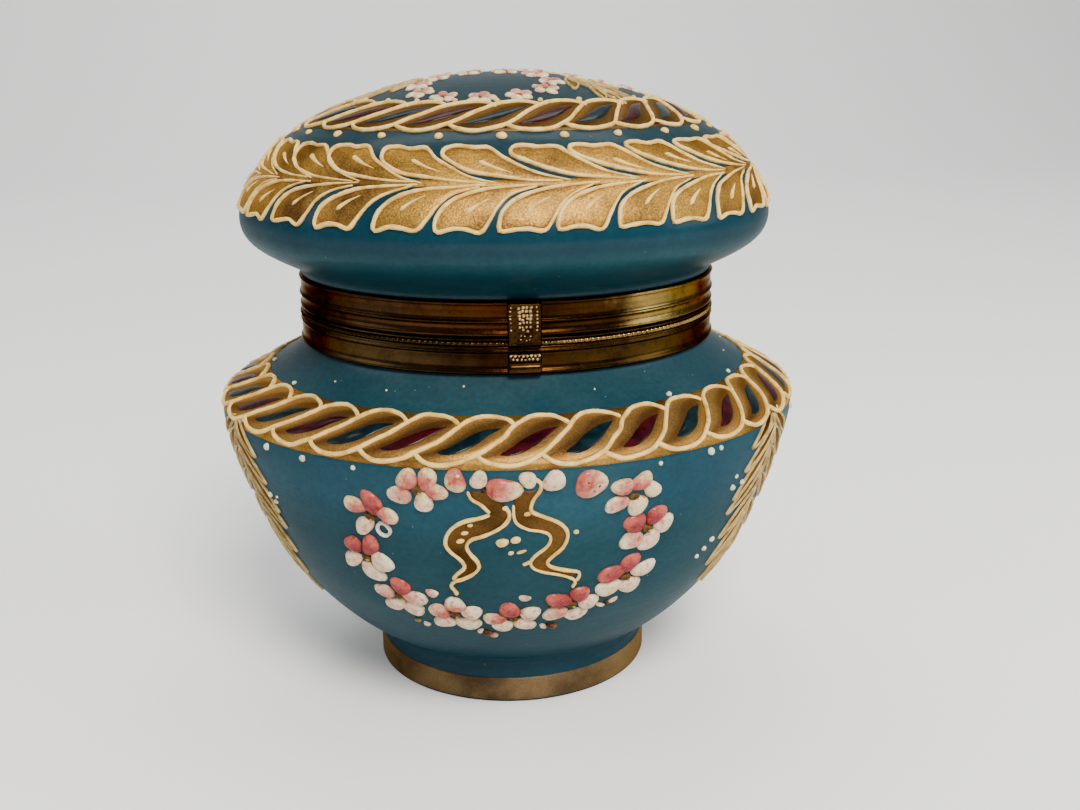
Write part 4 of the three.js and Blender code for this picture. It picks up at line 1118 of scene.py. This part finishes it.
# The lid, a hollow dome blown in the same satin glass, about 4 mm thick. It bulges out to a rounded
# edge and narrows to a short neck that sits inside the upper brass collar.
LID_OUTLINE = [
    [(0, 137), (16.1, 137), (32, 132.9), (46, 125)],
    [(46, 125), (51.2, 122.1), (58.9, 113), (58.9, 107)],
    [(58.9, 107), (58.9, 102), (55, 100), (48.4, 96.8)],
    [(48.4, 96.8), (47.3, 96.25), (46.3, 95.6), (46.3, 94.5)],
]
on_lid = chart_of(LID_OUTLINE)
lid_outer = outline_points(LID_OUTLINE, 22)
lid_inner_all = offset_inwards(lid_outer, GLASS_WALL)
lid_inner = [tuple(p) for p in lid_inner_all if p[0] > 1.5 and p[1] > 101.0]
lid_rim = [(45.6, 94.1), (RIM_OUTER, 93.8), (RIM_OUTER, SEAM_Z + 1.7),
           (RIM_OUTER - 0.5, SEAM_Z + 1.2), (RIM_INNER + 0.5, SEAM_Z + 1.2),
           (RIM_INNER, SEAM_Z + 1.7), (RIM_INNER, 94.5), (43.2, 96.8), (46.8, 98.7)]
lid_profile = [tuple(p) for p in lid_outer] + lid_rim + lid_inner[::-1] + [(0, 137 - GLASS_WALL)]
lid_shell = turned(lid_profile)
glass_lid = add_piece("lid_glass", [lid_shell], [opaline], "lid")
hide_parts("glass_lid")

# Garland of leaves round the widest part of the lid: two rows that lean to the left of a shared
# stem, each leaf a patch of rough gilding with a thick cream outline and a small vein.
# Leaf outlines as (azimuth past the leaf's tip, along): from the stem round the tip and back.
UPPER_BLUNT = [(24.0, 59.35), (18, 59.0), (12, 58.5), (5.8, 57.3), (1.3, 55.1), (0, 53.2),
               (0.8, 51.7), (4.0, 51.0), (7, 51.6), (10, 51.2), (13.3, 53.9), (17, 56.3),
               (21, 58.2), (26, 59.3)]
UPPER_SLANT = [(26.0, 59.3), (19, 58.7), (12.5, 57.6), (7.7, 56.1), (3.6, 54.4), (0.8, 52.8),
               (0.3, 51.2), (2.6, 50.7), (6.2, 51.2), (10.3, 51.0), (12.9, 52.8), (15.5, 54.8),
               (19.5, 57.1), (27, 59.25)]
LOWER_LEAF = [(21, 59.8), (14, 60.15), (8.6, 61.0), (3.8, 62.6), (1.0, 64.8), (0, 67.3),
              (0.3, 68.8), (3, 68.3), (5.6, 68.2), (8.4, 68.7), (10.3, 66.5), (12.1, 63.9),
              (14.9, 61.7), (19.8, 60.15)]
LEAF_TURN = 5
UPPER_TIPS = [-59.5, -46, -31.5, -17.5, -3, 10, 24, 38.5, 51.5]
LOWER_TIPS = [-68, -55, -42, -28.5, -16.5, -5, 5.5, 17, 28.5, 41, 54]
UPPER_COUNT, LOWER_COUNT = 26, 30
LEAF_LINE = 0.82
leaf_lines, leaf_grounds = [], []


def all_round(tips, count):
    """The leaf tips given one by one at the front, then the rest spaced evenly round the back."""
    gap = (360.0 - (tips[-1] - tips[0])) / (count - len(tips) + 1)
    return tips + [tips[-1] + gap * (k + 1) for k in range(count - len(tips))]


def garland_leaf(outline, veins, seed, chance):
    """One leaf: a softly swelling gilded patch, an outline that thins to the stem, and a vein."""
    lower_side = outline[LEAF_TURN::-1]
    upper_side = outline[LEAF_TURN:]
    leaf_grounds.append(enamel_ribbon(on_lid, lower_side, upper_side, 0.20, 0.10, 9, 26))
    leaf_lines.append(enamel_line(on_lid, outline, LEAF_LINE * chance.uniform(0.92, 1.08), 0.60,
                                  lift=0.08, seed=seed, swell=0.16, taper=(0.42, 0.42)))
    for vein in veins:
        leaf_lines.append(enamel_line(on_lid, vein, chance.uniform(0.75, 1.15), 0.45, lift=0.30,
                                      shape="drop", seed=seed + 50))


chance = random.Random(5)
for k, tip in enumerate(all_round(UPPER_TIPS, UPPER_COUNT)):
    slant = min(1.0, max(0.0, (tip + 40.0) / 45.0)) if -70 < tip < 60 else 0.5
    template = (1 - slant) * np.array(UPPER_BLUNT) + slant * np.array(UPPER_SLANT)
    outline = shifted(template, tip, 0.20, chance)
    start = (tip + 7.5 + 1.5 * slant, 54.3 + chance.uniform(-0.5, 0.5))
    vein = [start, (start[0] + 3.2, start[1] + 1.5), (start[0] + 6.8, start[1] + 2.7)]
    garland_leaf(outline, [vein] if k != 4 else [], k, chance)
for k, tip in enumerate(all_round(LOWER_TIPS, LOWER_COUNT)):
    squeeze = 0.94 if -20 < tip < 10 else 1.0
    outline = shifted([(a * squeeze, s) for a, s in LOWER_LEAF], tip, 0.20, chance)
    start = (tip + 5.2 + chance.uniform(-0.4, 0.8), 65.2 + chance.uniform(-0.7, 0.5))
    vein = [start, (start[0] + 2.0, start[1] - 1.6), (start[0] + 4.7, start[1] - 3.1)]
    garland_leaf(outline, [vein], k + 200, chance)
STEM_TOP, STEM_BOTTOM = 58.7, 60.3
leaf_grounds.append(enamel_band(on_lid, STEM_TOP, STEM_BOTTOM, 0.12, 6, swell=0.14))
leaf_gold = gilding("garland_gilding", (0.10, 0.050, 0.018), (0.42, 0.235, 0.050), 0.7)
add_piece("garland_leaf_lines", leaf_lines, [cream], "lid")
add_piece("garland_leaf_gilding", leaf_grounds, [leaf_gold], "lid")

# Rope band round the crown of the lid, made like the one on the shoulder but with longer and
# flatter strands over brown gilding, and with a dot of cream enamel at the foot of each.
LID_STRANDS = 24
CROWN_BAND_TOP, CROWN_BAND_BOTTOM = 34.0, 45.9
LID_STRAND_LINE = [(-20.5, 43.8), (-17.5, 45.3), (-13.5, 46.0), (-9.5, 45.4), (-6, 44.0),
                   (-3, 42.0), (0, 39.5), (3.2, 37.3), (6.8, 35.4), (11, 34.3), (15.5, 34.1),
                   (19.3, 34.9), (21.8, 36.2)]
# Colours across each crown strand's gilding, edge to edge: paler at the edges, dark in the middle
# round the inset. This gradient is painted shade that models each strand's swell.
CROWN_SHADE_TINTS = [(0.17, 0.105, 0.050), (0.095, 0.055, 0.026), (0.028, 0.014, 0.007),
               (0.026, 0.013, 0.006), (0.080, 0.045, 0.021), (0.15, 0.090, 0.042)]
LID_INSET = [(-9.5, 43.6), (-5.0, 42.3), (-0.5, 40.2), (4.0, 38.0), (9.0, 36.4)]
lid_lines, lid_grounds, lid_red, lid_blue, lid_dots = [], [], [], [], []
chance = random.Random(23)
lid_starts = [1.5 + 360.0 / LID_STRANDS * k + chance.uniform(-0.5, 0.5) for k in range(LID_STRANDS)]
lid_shapes = [shifted(LID_STRAND_LINE, start, 0.18, chance) for start in lid_starts]
for k in range(LID_STRANDS):
    shape = lid_shapes[k]
    before = lid_shapes[k - 1] if k else [(a - 360, s) for a, s in lid_shapes[-1]]
    lid_lines.append(enamel_line(on_lid, shape, 0.84, 0.6, lift=0.12, seed=k + 400))
    lid_grounds.append(enamel_ribbon(on_lid, before[3:], shape[:10], 0.30, 0.10, 9, 24,
                                     CROWN_SHADE_TINTS))
    middle = lid_starts[k] - 180.0 / LID_STRANDS
    part = enamel_line(on_lid, shifted(LID_INSET, middle, 0.15, chance), chance.uniform(2.4, 3.0),
                       0.25, lift=0.34, shape="lens", seed=k)
    (lid_red if k % 2 else lid_blue).append(part)
    size = chance.uniform(0.75, 1.0)
    lid_dots.append(enamel_drop(on_lid, lid_starts[k] - 21.5, 47.6, (size * 1.1, size), 0,
                                size * 0.8, seed=k, around=14))
    lid_dots.append(enamel_drop(on_lid, lid_starts[k] + chance.uniform(6, 8), 32.9, (0.6, 0.6),
                                0, 0.5, seed=k, around=10))
band_brown = gilding("crown_band_gilding", (0.045, 0.024, 0.011), (0.15, 0.088, 0.038), 0.5)
strand_brown = gilding("crown_strand_gilding", (0.040, 0.022, 0.011), (0.12, 0.070, 0.032), 0.5,
                       True)
add_piece("crown_band_gilding", [enamel_band(on_lid, CROWN_BAND_TOP, CROWN_BAND_BOTTOM, 0.07, 8)],
          [band_brown], "lid")
add_piece("crown_strand_gilding", lid_grounds, [strand_brown], "lid")
add_piece("crown_rope_lines", lid_lines + lid_dots, [cream], "lid")
add_piece("crown_red_insets", lid_red, [dark_red], "lid")
add_piece("crown_blue_insets", lid_blue, [dark_blue], "lid")

# Top of the crown: three small oval wreaths of enamel flowers, each petal a thick drop, with sprays
# of narrow gilded leaves between them that are outlined in pale enamel.
CROWN_WREATHS = (-16, 104, 224)
CROWN_FLOWERS = 11
OVAL_ACROSS, OVAL_INWARDS, OVAL_CENTRE = 14.0, 12.0, 18.9
# Spray blades as azimuth and along of the root, then of the tip.
SPRAY_BLADES = [(57, 19, 45, 27), (58, 18.5, 58, 30), (62, 18.5, 74, 28), (60, 24, 50, 34),
                (61, 24, 66, 35), (58, 27, 56, 36.5)]
petals, hearts = [], []
spray_lines, spray_grounds = [], []
for w, centre in enumerate(CROWN_WREATHS):
    tilt = math.radians(centre)
    for k in range(CROWN_FLOWERS):
        angle = 2 * math.pi * (k + 0.5) / CROWN_FLOWERS
        across = OVAL_ACROSS * math.cos(angle)
        inwards = OVAL_INWARDS * math.sin(angle) + OVAL_CENTRE
        x = inwards * math.sin(tilt) + across * math.cos(tilt)
        y = inwards * math.cos(tilt) - across * math.sin(tilt)
        a, s = math.degrees(math.atan2(x, y)), on_lid.along_at_radius(math.hypot(x, y))
        flower(on_lid, a, s, 33 * k, 0.62, 500 + 20 * w + k, 2.9, (2.2, 1.7))
    for n, (a0, s0, a1, s1) in enumerate(SPRAY_BLADES):
        blade(on_lid, (centre + a0, s0), (centre + a1, s1), 2.4, 600 + 10 * w + n,
              spray_lines, spray_grounds)
add_piece("crown_wreath_petals", petals, [petal_enamel], "lid")
add_piece("crown_wreath_hearts", hearts, [petal_enamel], "lid")
add_piece("crown_spray_lines", spray_lines, [pale_line], "lid")
add_piece("crown_spray_gilding", spray_grounds, [band_brown], "lid")

# Brass collar on the lid's neck: a plain band with a drawn edge above, and a stepped foot that
# meets the lower collar at the seam.
LID_COLLAR = [(45.6, 94.0), (46.3, 94.2), (46.85, 94.1), (47.0, 93.8), (46.85, 93.45),
              (46.62, 93.2), (46.66, 92.3), (46.68, 91.3), (46.62, 90.6), (46.78, 90.42),
              (47.02, 90.25), (47.02, 90.02), (46.82, 89.86), (46.60, 89.75), (46.62, 88.9),
              (46.66, 88.2), (46.86, 88.02), (46.98, 87.7), (46.92, 87.35), (46.70, 87.15),
              (42.2, 87.15), (41.9, 87.4), (41.9, 87.8), (42.3, 87.88), (45.2, 87.88),
              (COLLAR_INNER, 88.1), (COLLAR_INNER, 93.7)]
# These stops paint shade on the collar's front and a bright highlight band to the right of the
# clasp.
lid_collar_brass = aged_brass("lid_collar_brass", [
    (0.0, (0.048, 0.030, 0.017)), (0.16, (0.036, 0.019, 0.009)), (0.29, (0.045, 0.018, 0.005)),
    (0.42, (0.038, 0.010, 0.0012)), (0.48, (0.013, 0.0035, 0.0007)), (0.66, (0.030, 0.012, 0.0022)),
    (0.73, (0.22, 0.150, 0.044)), (0.86, (0.15, 0.100, 0.030)), (1.0, (0.045, 0.028, 0.010))])
lid_collar = add_piece("lid_collar_ring", [turned(LID_COLLAR[::-1])], [lid_collar_brass], "lid")
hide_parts("lid_collar")

# The clasp tab: a short brass strap soldered on the lid's collar, at the front, that hangs over the
# seam to the catch. Its dark face carries rows of small grains, rubbed bright.
def tab_relief(x, z, edge):
    """A plain chased face inside a raised rim, a little higher down the middle of the strap."""
    ripple = 0.06 * math.sin(4.6 * z) * math.sin(3.9 * x)
    rim = 0.20 * math.exp(-((edge - 0.45) / 0.22) ** 2)
    inside = min(1.0, max(0.0, (edge - 0.5) / 0.4))
    return (0.12 + ripple) * inside * math.exp(-(x / 2.2) ** 2) + rim


TAB_LOW, TAB_HIGH, TAB_FRONT = 85.4, 94.2, 48.5
tab_face = chased_plate(CLASP_HALF, TAB_LOW, TAB_HIGH, TAB_FRONT, 1.2, tab_relief)
tab_plate = add_piece("clasp_tab_plate", [tab_face], [chased_brass], "lid")
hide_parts("clasp_tab")
chance = random.Random(41)
pearls = []
for z in (93.2, 92.45, 91.7, 90.95, 90.2, 89.45, 88.7):
    low = z < 90.5
    for x in (-1.1, -0.35, 0.4, 1.15):
        if low and abs(x) > 1 and z < 89:
            continue
        size = chance.uniform(0.32, 0.44) * (0.8 if low else 1.0)
        pearls.append(pearl(x + chance.uniform(-0.14, 0.14), z + chance.uniform(-0.16, 0.16), size,
                            TAB_FRONT))
    for x in (-2.75, 2.35):
        pearls.append(pearl(x + chance.uniform(-0.08, 0.08), z + chance.uniform(-0.1, 0.1),
                            chance.uniform(0.24, 0.34), 48.42))
for z in (87.6, 86.8):
    for x in (-0.9, 0.1, 1.0):
        pearls.append(pearl(x + chance.uniform(-0.2, 0.2), z + chance.uniform(-0.15, 0.15), 0.22,
                            48.45))
add_piece("clasp_tab_pearls", pearls, [pearl_brass], "lid")

# The hinge's upper leaf, in brass. It is soldered and riveted to the lid's collar and carries the
# one knuckle in the middle, which turns on the pin.
upper_leaf = [hinge_plate(HINGE_HALF, SEAM_Z + 2.1, 93.6),
              knuckle_barrel(-MIDDLE_HALF, MIDDLE_HALF)]
for x in RIVETS:
    upper_leaf.append(rivet(x, 91.8))
hinge_upper = add_piece("hinge_upper_leaf", upper_leaf, [hinge_brass], "lid",
                        smooth=False)
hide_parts("hinge_lid_leaf")
